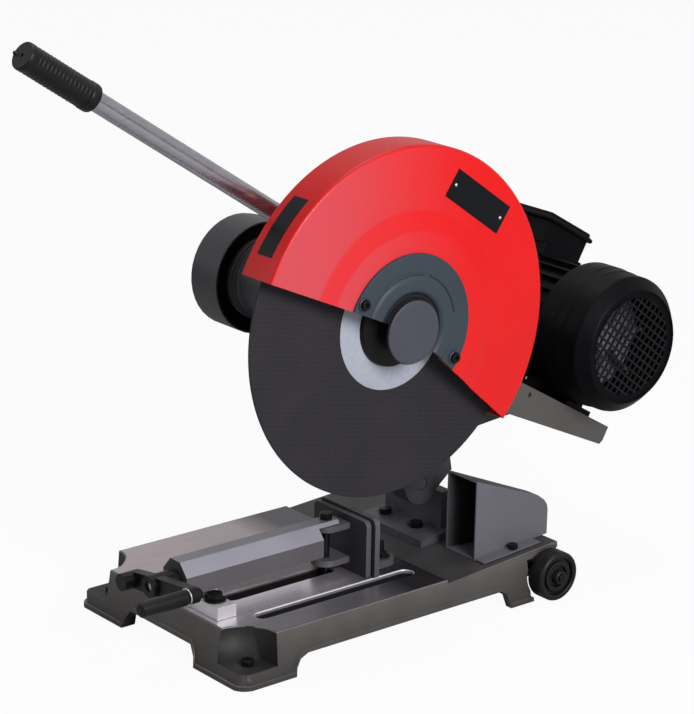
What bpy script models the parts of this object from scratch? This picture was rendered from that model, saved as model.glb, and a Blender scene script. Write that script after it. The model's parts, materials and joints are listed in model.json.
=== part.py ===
"""Abrasive chop saw: a belt-driven 400 mm cutting wheel on a swinging arm over a cast base with a screw vice.

Lengths are metres, +Z is up, -Y is the operator's side and the cutting wheel is on the +X side.
Places are written from the middle of the base's front edge, and ORIGIN_SHIFT moves them all
so that the whole machine's box stands centred on the origin.
"""
from math import cos, pi, radians, sin

import bmesh
import bpy
from mathutils import Matrix, Vector

ORIGIN_SHIFT = (0.0, -0.25223, 0.0)
GAP = 0.0003

# Base casting
BASE_HALF_W = 0.158
TOP_HALF_W = 0.149
BASE_LEN = 0.4355
FRONT_DRAFT = 0.011
TABLE_Z = 0.057
DECK_Y = 0.303
DECK_Z = 0.0525
DECK_END_Y = 0.477
DECK_END_Z = 0.0643
DECK_T = 0.0095
REAR_WALL_Y = 0.4275
ARCH_Z = 0.0235
LIP_OUT = 0.0025
LIP_H = 0.005
FOOT_ROUND = 0.020
WALL = 0.008
POCKET_R = 0.0435
POCKET_X = 0.150
POCKET_Y = 0.010
PAD_Z = 0.018
SLOT_HALF_W = 0.0095
SLOT_Y0 = 0.0615
SLOT_Y1 = 0.2875

# Wheels and axle
ROLLER_R = 0.030
ROLLER_W = 0.024
ROLLER_X0 = 0.1500
HUB_OUT = 0.004
AXLE_Y = 0.459
AXLE_Z = ROLLER_R
AXLE_R = 0.005

# Main axes
DISC_X = 0.1042
DISC_R = 0.200
DISC_T = 0.0032
BORE_R = 0.016
SPINDLE = Vector((0.0, 0.2472, 0.3622))
PIVOT = Vector((0.0, 0.357, 0.130))
MOTOR = Vector((0.0, 0.608, 0.276))
MOTOR_TILT = radians(-29.9)

# Pivot: an ear on the bracket inside the arm's fork
BRACKET_Y = (0.345, 0.430)
BRACKET_T = 0.0095
UPRIGHT_Y = 0.385
UPRIGHT_TOP = 0.114
EAR_R = 0.022
EAR_HALF_W = 0.010
PIN_R = 0.008
FORK_R = 0.0255
FORK_HALF_W = 0.040

# Wheel guard, measured from the spindle axis
GUARD_R = 0.2075
GUARD_BACK_X = 0.0773
GUARD_FACE_X = 0.1285
GUARD_RISE = 0.0045
GUARD_STEP_R = (0.114, 0.135)
GUARD_WALL = 0.002
GUARD_ANGLES = (156.3, 318.9)
COVER_R = 0.088
BOSS_R = 0.0367
BOSS_X = 0.1438

# Spindle housing and bearings
HOUSING_R = 0.043
HOUSING_X = (-0.112, 0.064)
BEARING_R = 0.031
SHAFT_R = 0.0125

# Belt drive
PULLEY_X = -0.156
SPINDLE_PULLEY_R = 0.0525
MOTOR_PULLEY_R = 0.0430
GROOVE_DEPTH = 0.0090
GROOVE_HALF_W = 0.0070
BELT_T = 0.0080
BELT_HALF_W = 0.0055
BELT_COVER_R = (0.068, 0.060)
BELT_COVER_X = (-0.180, -0.131)

# Motor
MOTOR_FEET_H = 0.094
BODY_R = 0.074
BODY_X = (-0.115, 0.047)
COWL_R = 0.084
COWL_X = (0.0475, 0.130)
RIB_COUNT = 28
RIB_H = 0.007

# Motor plate, in the tilted frame of the motor
PLATE_X = (-0.095, 0.080)
PLATE_T = 0.006

# Handle
HANDLE_X = 0.045
HANDLE_TILT = radians(33.0)
HANDLE_FOOT = Vector((HANDLE_X, 0.262, 0.4085))
HANDLE_R = 0.011
HANDLE_LEN = 0.5425
GRIP_LEN = 0.099
GRIP_R = 0.016

# Vice
VICE_X = 0.0425
SCREW_Z = 0.0980
RAM_Y = (-0.0050, 0.1885)
RAM_TONGUE_Y = 0.2190
RAM_Z = (0.0845, 0.1207)
RAM_HALF_W = 0.022
RAM_TOP_HALF_W = 0.009
RAM_BEVEL_Z = 0.1058
GUIDE_HALF_W = 0.0085
GUIDE_Y = (0.0655, 0.2180)
JAW_EAR_R = 0.017
JAW_EARS_Z = ((0.0670, 0.0745), (0.1090, 0.1160))
JAW_X = (-0.006, 0.090)
JAW_Y = (0.2305, 0.2375)
JAW_TOP_Z = 0.125
FENCE_X = (-0.006, 0.096)
FENCE_Y = (0.2385, 0.2455)
FENCE_LUG_R = 0.0158
FENCE_LUG_T = 0.0085
FENCE_STUD_H = 0.0190
FENCE_TOP_Z = 0.128
PIN_Y = 0.2085
CRANK_Y = (-0.0365, -0.0245)
CRANK_LONG = 0.0673
CRANK_SHORT = 0.0396
CRANK_TURN = radians(8.0)
CRANK_GRIP_LEN = 0.060

# Spark box
SPARK_X = (0.075, 0.126)
SPARK_Y = (0.366, 0.482)
SPARK_TAPER = 0.037
SPARK_ROOF_Y = 0.465
SPARK_FRONT_Z = 0.156
SPARK_REAR_Z = 0.1175
SHEET = 0.002

AXIS_FRAMES = {
    "X": Matrix(((0, 0, 1), (1, 0, 0), (0, 1, 0))).to_4x4(),
    "Y": Matrix(((1, 0, 0), (0, 0, -1), (0, 1, 0))).to_4x4(),
    "Z": Matrix.Identity(4),
}


def clear_scene():
    for old in list(bpy.data.objects):
        bpy.data.objects.remove(old, do_unlink=True)


def collection(name):
    group = bpy.data.collections.new(name)
    bpy.context.scene.collection.children.link(group)
    return group


def finish(name, colour, roughness, metallic):
    material = bpy.data.materials.new(name)
    material.use_nodes = True
    shader = material.node_tree.nodes["Principled BSDF"]
    shader.inputs["Base Color"].default_value = (*colour, 1.0)
    shader.inputs["Roughness"].default_value = roughness
    shader.inputs["Metallic"].default_value = metallic
    return material


clear_scene()
PARTS = collection("abrasive_chop_saw")
CUTTERS = collection("cutters")

CAST = finish("cast_bronze_grey", (0.110, 0.100, 0.092), 0.55, 0.4)
DARK_CAST = finish("dark_grey_casting", (0.070, 0.068, 0.075), 0.5, 0.4)
STEEL = finish("bright_steel", (0.56, 0.55, 0.57), 0.35, 1.0)
BLACK_STEEL = finish("black_oxide_steel", (0.012, 0.012, 0.014), 0.45, 0.7)
RED = finish("red_enamel", (0.760, 0.020, 0.022), 0.35, 0.0)
ABRASIVE = finish("bonded_abrasive", (0.036, 0.034, 0.038), 0.9, 0.0)
COVER_GREY = finish("blue_grey_enamel", (0.060, 0.075, 0.095), 0.45, 0.1)
MOTOR_BLACK = finish("black_enamel", (0.012, 0.012, 0.014), 0.4, 0.1)
RUBBER = finish("black_rubber", (0.010, 0.010, 0.011), 0.75, 0.0)
SHEET_GREY = finish("grey_sheet", (0.150, 0.145, 0.160), 0.45, 0.3)


def empty(name, at, parent=None):
    marker = bpy.data.objects.new(name, None)
    marker.location = at
    marker.parent = parent
    marker.hide_render = True
    bpy.context.scene.collection.objects.link(marker)
    return marker


FRAME = empty("machine_frame", ORIGIN_SHIFT)
SWING = empty("swing_axis", PIVOT, FRAME)
SPIN = empty("spindle_axis", SPINDLE, FRAME)
ROTOR = empty("rotor_axis", MOTOR, FRAME)
SLIDE = empty("ram_line", (VICE_X, RAM_Y[0], SCREW_Z), FRAME)
SCREW = empty("screw_axis", (VICE_X, CRANK_Y[0], SCREW_Z), FRAME)
GRIP_AT = Vector((VICE_X + CRANK_LONG * cos(CRANK_TURN), CRANK_Y[0], SCREW_Z + CRANK_LONG * sin(CRANK_TURN)))
KNOB_AT = Vector((VICE_X - CRANK_SHORT * cos(CRANK_TURN), CRANK_Y[0],
                  SCREW_Z - CRANK_SHORT * sin(CRANK_TURN)))
CRANK_GRIP = empty("crank_grip_axis", GRIP_AT, FRAME)
JAW = empty("jaw_axis", (VICE_X, PIN_Y, TABLE_Z), FRAME)
ROLLERS = {
    1: empty("right_wheel_axis", (ROLLER_X0, AXLE_Y, AXLE_Z), FRAME),
    -1: empty("left_wheel_axis", (-ROLLER_X0, AXLE_Y, AXLE_Z), FRAME),
}
ROOT = empty("base_frame", (0, 0, 0), FRAME)


def scratch(name, mesh):
    shape = bpy.data.objects.new(name, mesh)
    CUTTERS.objects.link(shape)
    shape.parent = FRAME
    shape.hide_render = True
    shape.display_type = "WIRE"
    return shape


def part(shape, name, carrier, material):
    """Make a shape a named piece of the machine, carried by the empty on its joint."""
    shape.name = name
    CUTTERS.objects.unlink(shape)
    PARTS.objects.link(shape)
    shape.hide_render = False
    shape.display_type = "TEXTURED"
    shape.parent = carrier
    shape.location = shape.location - carrier.location
    shape.data.materials.append(material)
    shape.data.shade_smooth()
    shape.data.set_sharp_from_angle(angle=radians(35))
    return shape


def mesh_of(bm):
    bmesh.ops.remove_doubles(bm, verts=bm.verts, dist=1e-6)
    bmesh.ops.recalc_face_normals(bm, faces=bm.faces)
    mesh = bpy.data.meshes.new("shape")
    bm.to_mesh(mesh)
    bm.free()
    return mesh


def block(low, high):
    """A box between two corners."""
    bm = bmesh.new()
    bmesh.ops.create_cube(bm, size=1.0)
    size = Vector(high) - Vector(low)
    bmesh.ops.scale(bm, vec=size, verts=bm.verts)
    shape = scratch("block", mesh_of(bm))
    shape.location = (Vector(low) + Vector(high)) / 2
    return shape


def rod(radius, start, end, sides=28):
    """A round bar between two points."""
    start = Vector(start)
    end = Vector(end)
    bm = bmesh.new()
    bmesh.ops.create_cone(bm, cap_ends=True, segments=sides, radius1=radius, radius2=radius,
                          depth=(end - start).length)
    shape = scratch("rod", mesh_of(bm))
    shape.rotation_euler = (end - start).to_track_quat("Z", "Y").to_euler()
    shape.location = (start + end) / 2
    return shape


def turned(profile, at, axis="X", steps=48, closed=True):
    """Turn a profile of (radius, distance along the axis) points about an axis through a point."""
    bm = bmesh.new()
    points = [bm.verts.new((radius, 0.0, along)) for radius, along in profile]
    edges = [bm.edges.new(pair) for pair in zip(points, points[1:])]
    if closed:
        edges.append(bm.edges.new((points[-1], points[0])))
    bmesh.ops.spin(bm, geom=points + edges, cent=(0, 0, 0), axis=(0, 0, 1), angle=2 * pi, steps=steps,
                   use_merge=True)
    shape = scratch("turned", mesh_of(bm))
    shape.data.transform(AXIS_FRAMES[axis])
    shape.location = at
    return shape


def ring(outer, inner, low, high, at, axis="X", steps=48):
    """A plain bush between two distances along an axis."""
    return turned([(outer, high), (outer, low), (inner, low), (inner, high)], at, axis, steps)


def arc(centre, radius, first, last, count=12):
    """Points along an arc, with its angles in degrees."""
    angles = [radians(first + (last - first) * step / count) for step in range(count + 1)]
    return [(centre[0] + radius * cos(angle), centre[1] + radius * sin(angle)) for angle in angles]


def outline(loops, low, high, axis, at=(0, 0, 0)):
    """A flat outline, with any holes after its first loop, between two distances along an axis."""
    curve = bpy.data.curves.new("outline", "CURVE")
    curve.dimensions = "2D"
    curve.fill_mode = "BOTH"
    curve.extrude = (high - low) / 2
    for loop in loops:
        spline = curve.splines.new("POLY")
        spline.points.add(len(loop) - 1)
        for point, (across, up) in zip(spline.points, loop):
            point.co = (across, up, 0.0, 1.0)
        spline.use_cyclic_u = True
    holder = bpy.data.objects.new("outline", curve)
    bpy.context.scene.collection.objects.link(holder)
    bpy.context.view_layer.update()
    flat = bpy.data.meshes.new_from_object(holder.evaluated_get(bpy.context.evaluated_depsgraph_get()))
    bpy.data.objects.remove(holder)
    bm = bmesh.new()
    bm.from_mesh(flat)
    shape = scratch("outline", mesh_of(bm))
    shape.data.transform(AXIS_FRAMES[axis] @ Matrix.Translation((0, 0, 0)))
    middle = (low + high) / 2
    offset = {"X": (middle, 0, 0), "Y": (0, middle, 0), "Z": (0, 0, middle)}[axis]
    shape.location = Vector(at) + Vector(offset)
    return shape


def combine(shape, others, operation):
    for other in others:
        step = shape.modifiers.new(operation.lower(), "BOOLEAN")
        step.operation = operation
        step.object = other
        step.solver = "EXACT"
    return shape


def cut(shape, *others):
    return combine(shape, others, "DIFFERENCE")


def join(shape, *others):
    return combine(shape, others, "UNION")


def keep(shape, *others):
    return combine(shape, others, "INTERSECT")


def hex_bolt(head_r, head_h, shank_r, length, at, washer=0.0):
    """An upright hexagon-head bolt whose head sits on the point given, with an optional washer rim."""
    x, y, z = at
    shape = rod(head_r, (x, y, z + washer), (x, y, z + washer + head_h), 6)
    lower = rod(shank_r, (x, y, z - length), (x, y, z + washer + head_h / 2), 16)
    extra = [lower]
    if washer:
        extra.append(rod(head_r * 1.35, (x, y, z), (x, y, z + washer + 0.0002), 24))
    return join(shape, *extra)


def deck_z(y):
    """Height of the sloping rear deck."""
    return DECK_Z + (DECK_END_Z - DECK_Z) * (y - DECK_Y) / (DECK_END_Y - DECK_Y)


def stadium(centre_a, radius_a, centre_b, radius_b, count=14):
    """Outline of a belt run round two circles."""
    a = Vector(centre_a)
    b = Vector(centre_b)
    along = b - a
    heading = along.angle_signed(Vector((1, 0)))
    lean = Vector((along.length, radius_a - radius_b)).angle_signed(Vector((1, 0)))
    top = heading + pi / 2 - lean
    bottom = heading - pi / 2 + lean
    points = []
    for step in range(count + 1):
        angle = top + (2 * pi - (top - bottom)) * step / count
        points.append((a.x + radius_a * cos(angle), a.y + radius_a * sin(angle)))
    for step in range(count + 1):
        angle = bottom + (top - bottom) * step / count
        points.append((b.x + radius_b * cos(angle), b.y + radius_b * sin(angle)))
    return points


def base_mass(inset, lift):
    """The base as a solid, with its lower edges moved in and up."""
    side = [(inset, lift), (0.077, lift), (0.0785, 0.010 + lift), (0.084, 0.019 + lift),
            (0.095, ARCH_Z + lift),
            (0.384, ARCH_Z + lift), (0.393, 0.019 + lift), (0.3985, lift), (BASE_LEN - inset, lift),
            (REAR_WALL_Y, deck_z(REAR_WALL_Y) - DECK_T), (DECK_END_Y, DECK_END_Z - DECK_T),
            (DECK_END_Y, DECK_END_Z),
            (DECK_Y, DECK_Z), (DECK_Y, TABLE_Z), (FRONT_DRAFT, TABLE_Z)]
    width = BASE_HALF_W - inset
    low = lift - 0.001
    front = [(width, low), (0.0695, low), (0.0665, 0.012 + lift), (0.058, ARCH_Z + lift),
             (-0.058, ARCH_Z + lift), (-0.0665, 0.012 + lift), (-0.0695, low), (-width, low),
             (-TOP_HALF_W, 0.070), (TOP_HALF_W, 0.070)]
    across = width - FOOT_ROUND
    near = inset - 0.001 + FOOT_ROUND
    plan = [(0.2, near), (0.2, 0.55), (-0.2, 0.55), (-0.2, near)]
    plan += arc((-across, near), FOOT_ROUND, 180, 270, 8) + arc((across, near), FOOT_ROUND, 270, 360, 8)
    mass = outline([side], -0.19, 0.19, "X")
    return keep(mass, outline([front], -0.05, 0.54, "Y"), outline([plan], -0.02, 0.10, "Z"))


def base_casting():
    body = base_mass(LIP_OUT, 0.001)
    lip = base_mass(0.0, 0.0)
    keep(lip, block((-0.3, -0.1, -0.01), (0.3, 0.6, ARCH_Z + LIP_H + 0.0007)))
    cut(lip, base_mass(-0.004, LIP_H))
    join(body, lip)
    inner = [(BASE_HALF_W - WALL, -0.01), (TOP_HALF_W - WALL, DECK_Z - WALL),
             (-TOP_HALF_W + WALL, DECK_Z - WALL),
             (-BASE_HALF_W + WALL, -0.01)]
    cavity = outline([inner], FRONT_DRAFT + WALL, REAR_WALL_Y - WALL, "Y")
    for hand in (1, -1):
        corner = (hand * POCKET_X, POCKET_Y)
        cut(cavity, rod(POCKET_R + WALL, (*corner, -0.05), (*corner, 0.1)))
    cut(body, cavity)
    for hand in (1, -1):
        corner = (hand * POCKET_X, POCKET_Y)
        cut(body, rod(POCKET_R, (*corner, PAD_Z), (*corner, 0.1)))
        cut(body, rod(0.0047, (hand * 0.131, 0.029, -0.01), (hand * 0.131, 0.029, 0.03), 16))
        lug = block((hand * 0.112, 0.420, 0.018), (hand * 0.128, 0.472, deck_z(0.45) - 0.002))
        join(body, lug)
        cut(body, rod(ROLLER_R + 0.002, (hand * 0.1485, AXLE_Y, AXLE_Z), (hand * 0.2, AXLE_Y, AXLE_Z), 40))
    slot = arc((DISC_X, SLOT_Y0 + SLOT_HALF_W), SLOT_HALF_W, 180, 360, 8)
    slot += arc((DISC_X, SLOT_Y1 - SLOT_HALF_W), SLOT_HALF_W, 0, 180, 8)
    guide = arc((VICE_X, GUIDE_Y[0] + GUIDE_HALF_W), GUIDE_HALF_W, 180, 360, 8)
    guide += arc((VICE_X, GUIDE_Y[1] - GUIDE_HALF_W), GUIDE_HALF_W, 0, 180, 8)
    cut(body, outline([slot], 0.0, 0.08, "Z"), outline([guide], 0.0, 0.08, "Z"))
    cut(body, rod(AXLE_R + GAP, (-0.2, AXLE_Y, AXLE_Z), (0.2, AXLE_Y, AXLE_Z), 20))
    for x, y in BASE_TAPPINGS:
        cut(body, rod(0.0042, (x, y, 0.03), (x, y, 0.08), 12))
    part(body, "base_casting", ROOT, CAST)


BRACKET_BOLTS = [(-0.0405, 0.370), (0.017, 0.370)]
FENCE_BOLTS = [(0.0140, 0.2745), (0.0635, 0.2745)]
BLOCK_BOLT = (0.066, 0.0325)
SPARK_BOLT = (0.1350, 0.4185)
BASE_TAPPINGS = BRACKET_BOLTS + FENCE_BOLTS + [BLOCK_BOLT, SPARK_BOLT]


def rolling_gear():
    axle = rod(AXLE_R, (-0.180, AXLE_Y, AXLE_Z), (0.180, AXLE_Y, AXLE_Z), 20)
    part(axle, "wheel_axle", ROOT, STEEL)
    for hand, name in ((1, "wheel_right"), (-1, "wheel_left")):
        face = ROLLER_W
        profile = [(AXLE_R + GAP, face + HUB_OUT), (0.008, face + HUB_OUT), (0.010, face - 0.005),
                   (0.015, face - 0.005),
                   (0.016, face - 0.002), (0.020, face - 0.002), (0.021, face - 0.005), (0.025, face - 0.004),
                   (0.027, face), (ROLLER_R, face - 0.004), (ROLLER_R, 0.004), (0.027, 0.0),
                   (AXLE_R + GAP, 0.0)]
        wheel = turned([(r, hand * (along + ROLLER_X0)) for r, along in profile], (0, AXLE_Y, AXLE_Z), "X",
                       24)
        part(wheel, name, ROLLERS[hand], RUBBER)


def base_fittings():
    for hand, name in ((1, "foot_bolt_right"), (-1, "foot_bolt_left")):
        bolt = hex_bolt(0.0075, 0.0065, 0.0042, 0.016, (hand * 0.131, 0.029, PAD_Z + GAP))
        part(bolt, name, ROOT, BLACK_STEEL)
    half, top, tower = 0.046, 0.072, 0.1085
    low = TABLE_Z + GAP
    block_shape = [(VICE_X - half, low), (VICE_X + half, low), (VICE_X + half, top), (VICE_X + 0.0106, top),
                   (VICE_X + 0.0104, tower), (VICE_X - 0.0104, tower), (VICE_X - 0.0106, top),
                   (VICE_X - half, top)]
    body = outline([block_shape], 0.0195, 0.0455, "Y")
    cut(body, rod(0.0083, (VICE_X, 0.0, SCREW_Z), (VICE_X, 0.06, SCREW_Z), 20))
    x, y = BLOCK_BOLT
    cut(body, rod(0.0042, (x, y, 0.05), (x, y, 0.08), 16))
    bolt = hex_bolt(0.0092, 0.0070, 0.0038, 0.024, (x, y, top + GAP), 0.0015)
    part(bolt, "nut_block_bolt", ROOT, BLACK_STEEL)
    part(body, "vice_nut_block", ROOT, STEEL)


def fence():
    x0, x1 = FENCE_X
    round_r = 0.008
    face = [(x0, TABLE_Z + GAP), (x1, TABLE_Z + GAP)]
    face += arc((x1 - round_r, FENCE_TOP_Z - round_r), round_r, 0, 90, 4)
    face += arc((x0 + round_r, FENCE_TOP_Z - round_r), round_r, 90, 180, 4)
    plate = outline([face], *FENCE_Y, "Y")
    for x, y in FENCE_BOLTS:
        root = FENCE_Y[1] - 0.002
        lug = [(x + FENCE_LUG_R, root)] + arc((x, y), FENCE_LUG_R, 0, 180, 12) + [(x - FENCE_LUG_R, root)]
        join(plate, outline([lug], TABLE_Z + GAP, TABLE_Z + FENCE_LUG_T, "Z"))
    for index, (x, y) in enumerate(FENCE_BOLTS):
        cut(plate, rod(0.0046, (x, y, 0.05), (x, y, 0.08), 16))
        seat = TABLE_Z + FENCE_LUG_T + GAP
        bolt = hex_bolt(0.0083, 0.0046, 0.0038, 0.018, (x, y, seat), 0.0012)
        join(bolt, rod(0.0042, (x, y, seat + 0.003), (x, y, seat + FENCE_STUD_H), 16))
        part(bolt, f"fence_bolt_{index + 1}", ROOT, BLACK_STEEL)
    part(plate, "fixed_fence", ROOT, DARK_CAST)


def pivot_bracket():
    near, far = BRACKET_Y
    foot_side = [(near, deck_z(near) + GAP), (far, deck_z(far) + GAP), (far, deck_z(far) + BRACKET_T),
                 (near, deck_z(near) + BRACKET_T)]
    foot = outline([foot_side], -0.061, 0.055, "X")
    join(foot, block((-0.058, UPRIGHT_Y, 0.0625), (0.044, UPRIGHT_Y + 0.015, UPRIGHT_TOP)))
    rib = [(UPRIGHT_Y + 0.012, 0.0635), (0.425, 0.0645), (0.425, 0.0735), (UPRIGHT_Y + 0.012, 0.108)]
    for x in (-0.047, 0.033):
        join(foot, outline([rib], x - 0.005, x + 0.005, "X"))
    ear = [(0.3985, 0.0700), (0.3985, 0.1380), (0.385, 0.1440)] + arc((PIVOT.y, PIVOT.z), EAR_R, 60, 300, 16)
    ear += [(0.3865, 0.0920), (0.3865, 0.0700)]
    join(foot, outline([ear], -EAR_HALF_W, EAR_HALF_W, "X"))
    cut(foot, rod(PIN_R + GAP, (-0.1, PIVOT.y, PIVOT.z), (0.1, PIVOT.y, PIVOT.z), 24))
    for index, (x, y) in enumerate(BRACKET_BOLTS):
        seat = deck_z(y) + BRACKET_T - 0.0008
        cut(foot, rod(0.0046, (x, y, 0.04), (x, y, 0.0695), 16))
        cut(foot, rod(0.0105, (x, y, seat), (x, y, seat + 0.010), 24))
        bolt = hex_bolt(0.0082, 0.0065, 0.0038, 0.020, (x, y, seat + GAP))
        part(bolt, f"bracket_bolt_{index + 1}", ROOT, BLACK_STEEL)
    part(foot, "pivot_bracket", ROOT, DARK_CAST)
    pin = rod(PIN_R, (-FORK_HALF_W + 0.0005, PIVOT.y, PIVOT.z), (FORK_HALF_W - 0.0005, PIVOT.y, PIVOT.z), 24)
    part(pin, "pivot_pin", ROOT, BLACK_STEEL)


def spark_box():
    y0, y1 = SPARK_Y
    x0, x1 = SPARK_X
    slope = (SPARK_REAR_Z - SPARK_FRONT_Z) / (SPARK_ROOF_Y - y0)
    lean = SPARK_TAPER / (y1 - y0)
    lift = GAP + 0.0003

    def side(inset, front):
        floor = [(front, deck_z(front) + lift), (y1 - inset, deck_z(y1 - inset) + lift)]
        roof = [(y1 - inset, 0.0965), (0.4805 - inset * 0.9, 0.1030 - inset * 0.3),
                (0.4755 - inset * 0.6, 0.1097 - inset * 0.7),
                (SPARK_ROOF_Y - inset * 0.3, SPARK_REAR_Z - inset)]
        return floor + roof + [(front, SPARK_FRONT_Z - inset * 1.1 + slope * (front - y0))]

    def plan(inset, front):
        """The box from above: its left wall leans towards the right wall at the rear."""
        left = x0 + inset * (1 + lean * lean) ** 0.5
        return [(left + lean * (front - y0), front), (x1 - inset, front), (x1 - inset, y1 - inset),
                (left + lean * (y1 - inset - y0), y1 - inset)]

    box = outline([side(0.0, y0)], x0 - 0.02, x1 + 0.02, "X")
    keep(box, outline([plan(0.0, y0)], 0.03, 0.18, "Z"))
    room = side(SHEET, y0 - 0.02)
    room[0] = (room[0][0], room[0][1] + SHEET)
    room[1] = (room[1][0], room[1][1] + SHEET)
    hollow = outline([room], x0 - 0.02, x1 + 0.02, "X")
    keep(hollow, outline([plan(SHEET, y0 - 0.02)], 0.03, 0.18, "Z"))
    cut(box, hollow)
    x, y = SPARK_BOLT
    low = lift + 0.0004
    near, far = 0.367, 0.456
    tongue = [(near, deck_z(near) + low), (far, deck_z(far) + low),
              (far, deck_z(far) + low + SHEET), (near, deck_z(near) + low + SHEET)]
    join(box, outline([tongue], x1 - SHEET / 2, x1 + 0.0155, "X"))
    cut(box, rod(0.0044, (x, y, 0.04), (x, y, 0.08), 16))
    bolt = hex_bolt(0.0062, 0.0055, 0.0036, 0.014, (x, y, deck_z(y) + low + SHEET + 0.0008))
    part(bolt, "spark_box_bolt", ROOT, BLACK_STEEL)
    part(box, "spark_box", ROOT, SHEET_GREY)


def vice():
    w, t = RAM_HALF_W, RAM_TOP_HALF_W
    low, top = RAM_Z
    outer = [(VICE_X + w, low), (VICE_X + w, RAM_BEVEL_Z), (VICE_X + t, top), (VICE_X - t, top),
             (VICE_X - w, RAM_BEVEL_Z), (VICE_X - w, low)]
    wall = 0.004
    inner = [(VICE_X + w - wall, low - 0.01), (VICE_X + w - wall, RAM_BEVEL_Z - 0.0015),
             (VICE_X + t - 0.0015, top - wall),
             (VICE_X - t + 0.0015, top - wall), (VICE_X - w + wall, RAM_BEVEL_Z - 0.0015),
             (VICE_X - w + wall, low - 0.01)]
    ram = outline([outer], RAM_Y[0], RAM_TONGUE_Y, "Y")
    cut(ram, outline([inner], RAM_Y[0] + 0.0042, RAM_Y[1] - 0.0055, "Y"))
    # Only the top sheet reaches over the jaw's upper ear.
    cut(ram, block((VICE_X - 0.05, RAM_Y[1], 0.05), (VICE_X + 0.05, RAM_TONGUE_Y + 0.02, top - 0.0041)))
    cut(ram, rod(0.0052, (VICE_X, PIN_Y, 0.05), (VICE_X, PIN_Y, 0.15), 20))
    cut(ram, rod(0.0083, (VICE_X, RAM_Y[0] - 0.02, SCREW_Z), (VICE_X, RAM_Y[0] + 0.02, SCREW_Z), 20))
    part(ram, "vice_ram", SLIDE, DARK_CAST)

    x0, x1 = JAW_X
    round_r = 0.007
    base_z = TABLE_Z + 0.0006
    face = [(x0, base_z), (x1, base_z)] + arc((x1 - round_r, JAW_TOP_Z - round_r), round_r, 0, 90, 4)
    face += arc((x0 + round_r, JAW_TOP_Z - round_r), round_r, 90, 180, 4)
    plate = outline([face], *JAW_Y, "Y")
    for z0, z1 in JAW_EARS_Z:
        ear = [(VICE_X + JAW_EAR_R, JAW_Y[0] + 0.002), (VICE_X - JAW_EAR_R, JAW_Y[0] + 0.002)]
        ear += arc((VICE_X, PIN_Y), JAW_EAR_R, 180, 360, 12)
        join(plate, outline([ear], z0, z1, "Z"))
    cut(plate, rod(0.0052, (VICE_X, PIN_Y, 0.05), (VICE_X, PIN_Y, 0.13), 20))
    part(plate, "vice_jaw", JAW, DARK_CAST)
    pin = hex_bolt(0.0080, 0.0075, 0.0049, 0.0745, (VICE_X, PIN_Y, top + GAP))
    part(pin, "jaw_pin", SLIDE, BLACK_STEEL)

    screw_end = RAM_Y[1] - 0.0075
    shoulder = CRANK_Y[1] + 0.0010
    tip = CRANK_Y[0] - 0.0020
    screw = turned([(0.0, screw_end), (0.0075, screw_end), (0.0075, shoulder), (0.0055, shoulder - 0.0005),
                    (0.0055, tip), (0.0, tip)], (VICE_X, 0, SCREW_Z), "Y", 24, closed=False)
    screw.data.transform(Matrix.Scale(-1, 4, (0, 1, 0)))
    screw.data.flip_normals()
    part(screw, "vice_screw", SCREW, STEEL)

    turn = Matrix.Rotation(-CRANK_TURN, 4, "Y")
    arm_shape = arc((0.0, 0.0), 0.012, 60, 120, 4) + arc((-CRANK_SHORT, 0.0), 0.0095, 90, 270, 8)
    arm_shape += arc((0.0, 0.0), 0.012, 240, 300, 4) + arc((CRANK_LONG, 0.0), 0.009, -90, 90, 8)
    crank = outline([arm_shape], *CRANK_Y, "Y")
    crank.data.transform(turn)
    crank.location = crank.location + Vector((VICE_X, 0, SCREW_Z))
    join(crank, rod(0.0100, KNOB_AT + Vector((0, 0.010, 0)), KNOB_AT + Vector((0, -0.014, 0)), 24))
    join(crank, rod(0.0125, (VICE_X, RAM_Y[0] - 0.0007, SCREW_Z), (VICE_X, CRANK_Y[0] - 0.005, SCREW_Z), 24))
    cut(crank, rod(0.0055 + GAP, (VICE_X, 0.02, SCREW_Z), (VICE_X, -0.06, SCREW_Z), 20))
    cut(crank, rod(0.0075 + GAP, (VICE_X, 0.03, SCREW_Z), (VICE_X, shoulder - 0.0009, SCREW_Z), 20))
    cut(crank, rod(0.0042 + GAP, GRIP_AT + Vector((0, 0.03, 0)), GRIP_AT + Vector((0, -0.03, 0)), 16))
    part(crank, "vice_crank", SCREW, BLACK_STEEL)
    bolt = rod(0.0042, GRIP_AT + Vector((0, 0.014, 0)), GRIP_AT + Vector((0, -CRANK_GRIP_LEN - 0.003, 0)), 16)
    join(bolt, rod(0.0068, GRIP_AT + Vector((0, 0.0165, 0)), GRIP_AT + Vector((0, 0.0123, 0)), 6))
    part(bolt, "crank_grip_bolt", SCREW, BLACK_STEEL)
    washer = ring(0.0098, 0.0046, 0.0003, 0.0020, GRIP_AT, "Y", 20)
    part(washer, "crank_washer", SCREW, STEEL)
    grip = turned([(0.0046, 0.0024), (0.0080, 0.0024), (0.0088, 0.0036), (0.0088, CRANK_GRIP_LEN + 0.001),
                   (0.0075, CRANK_GRIP_LEN + 0.0025), (0.0046, CRANK_GRIP_LEN + 0.0025)], GRIP_AT, "Y", 24)
    part(grip, "crank_grip", CRANK_GRIP, RUBBER)


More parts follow.
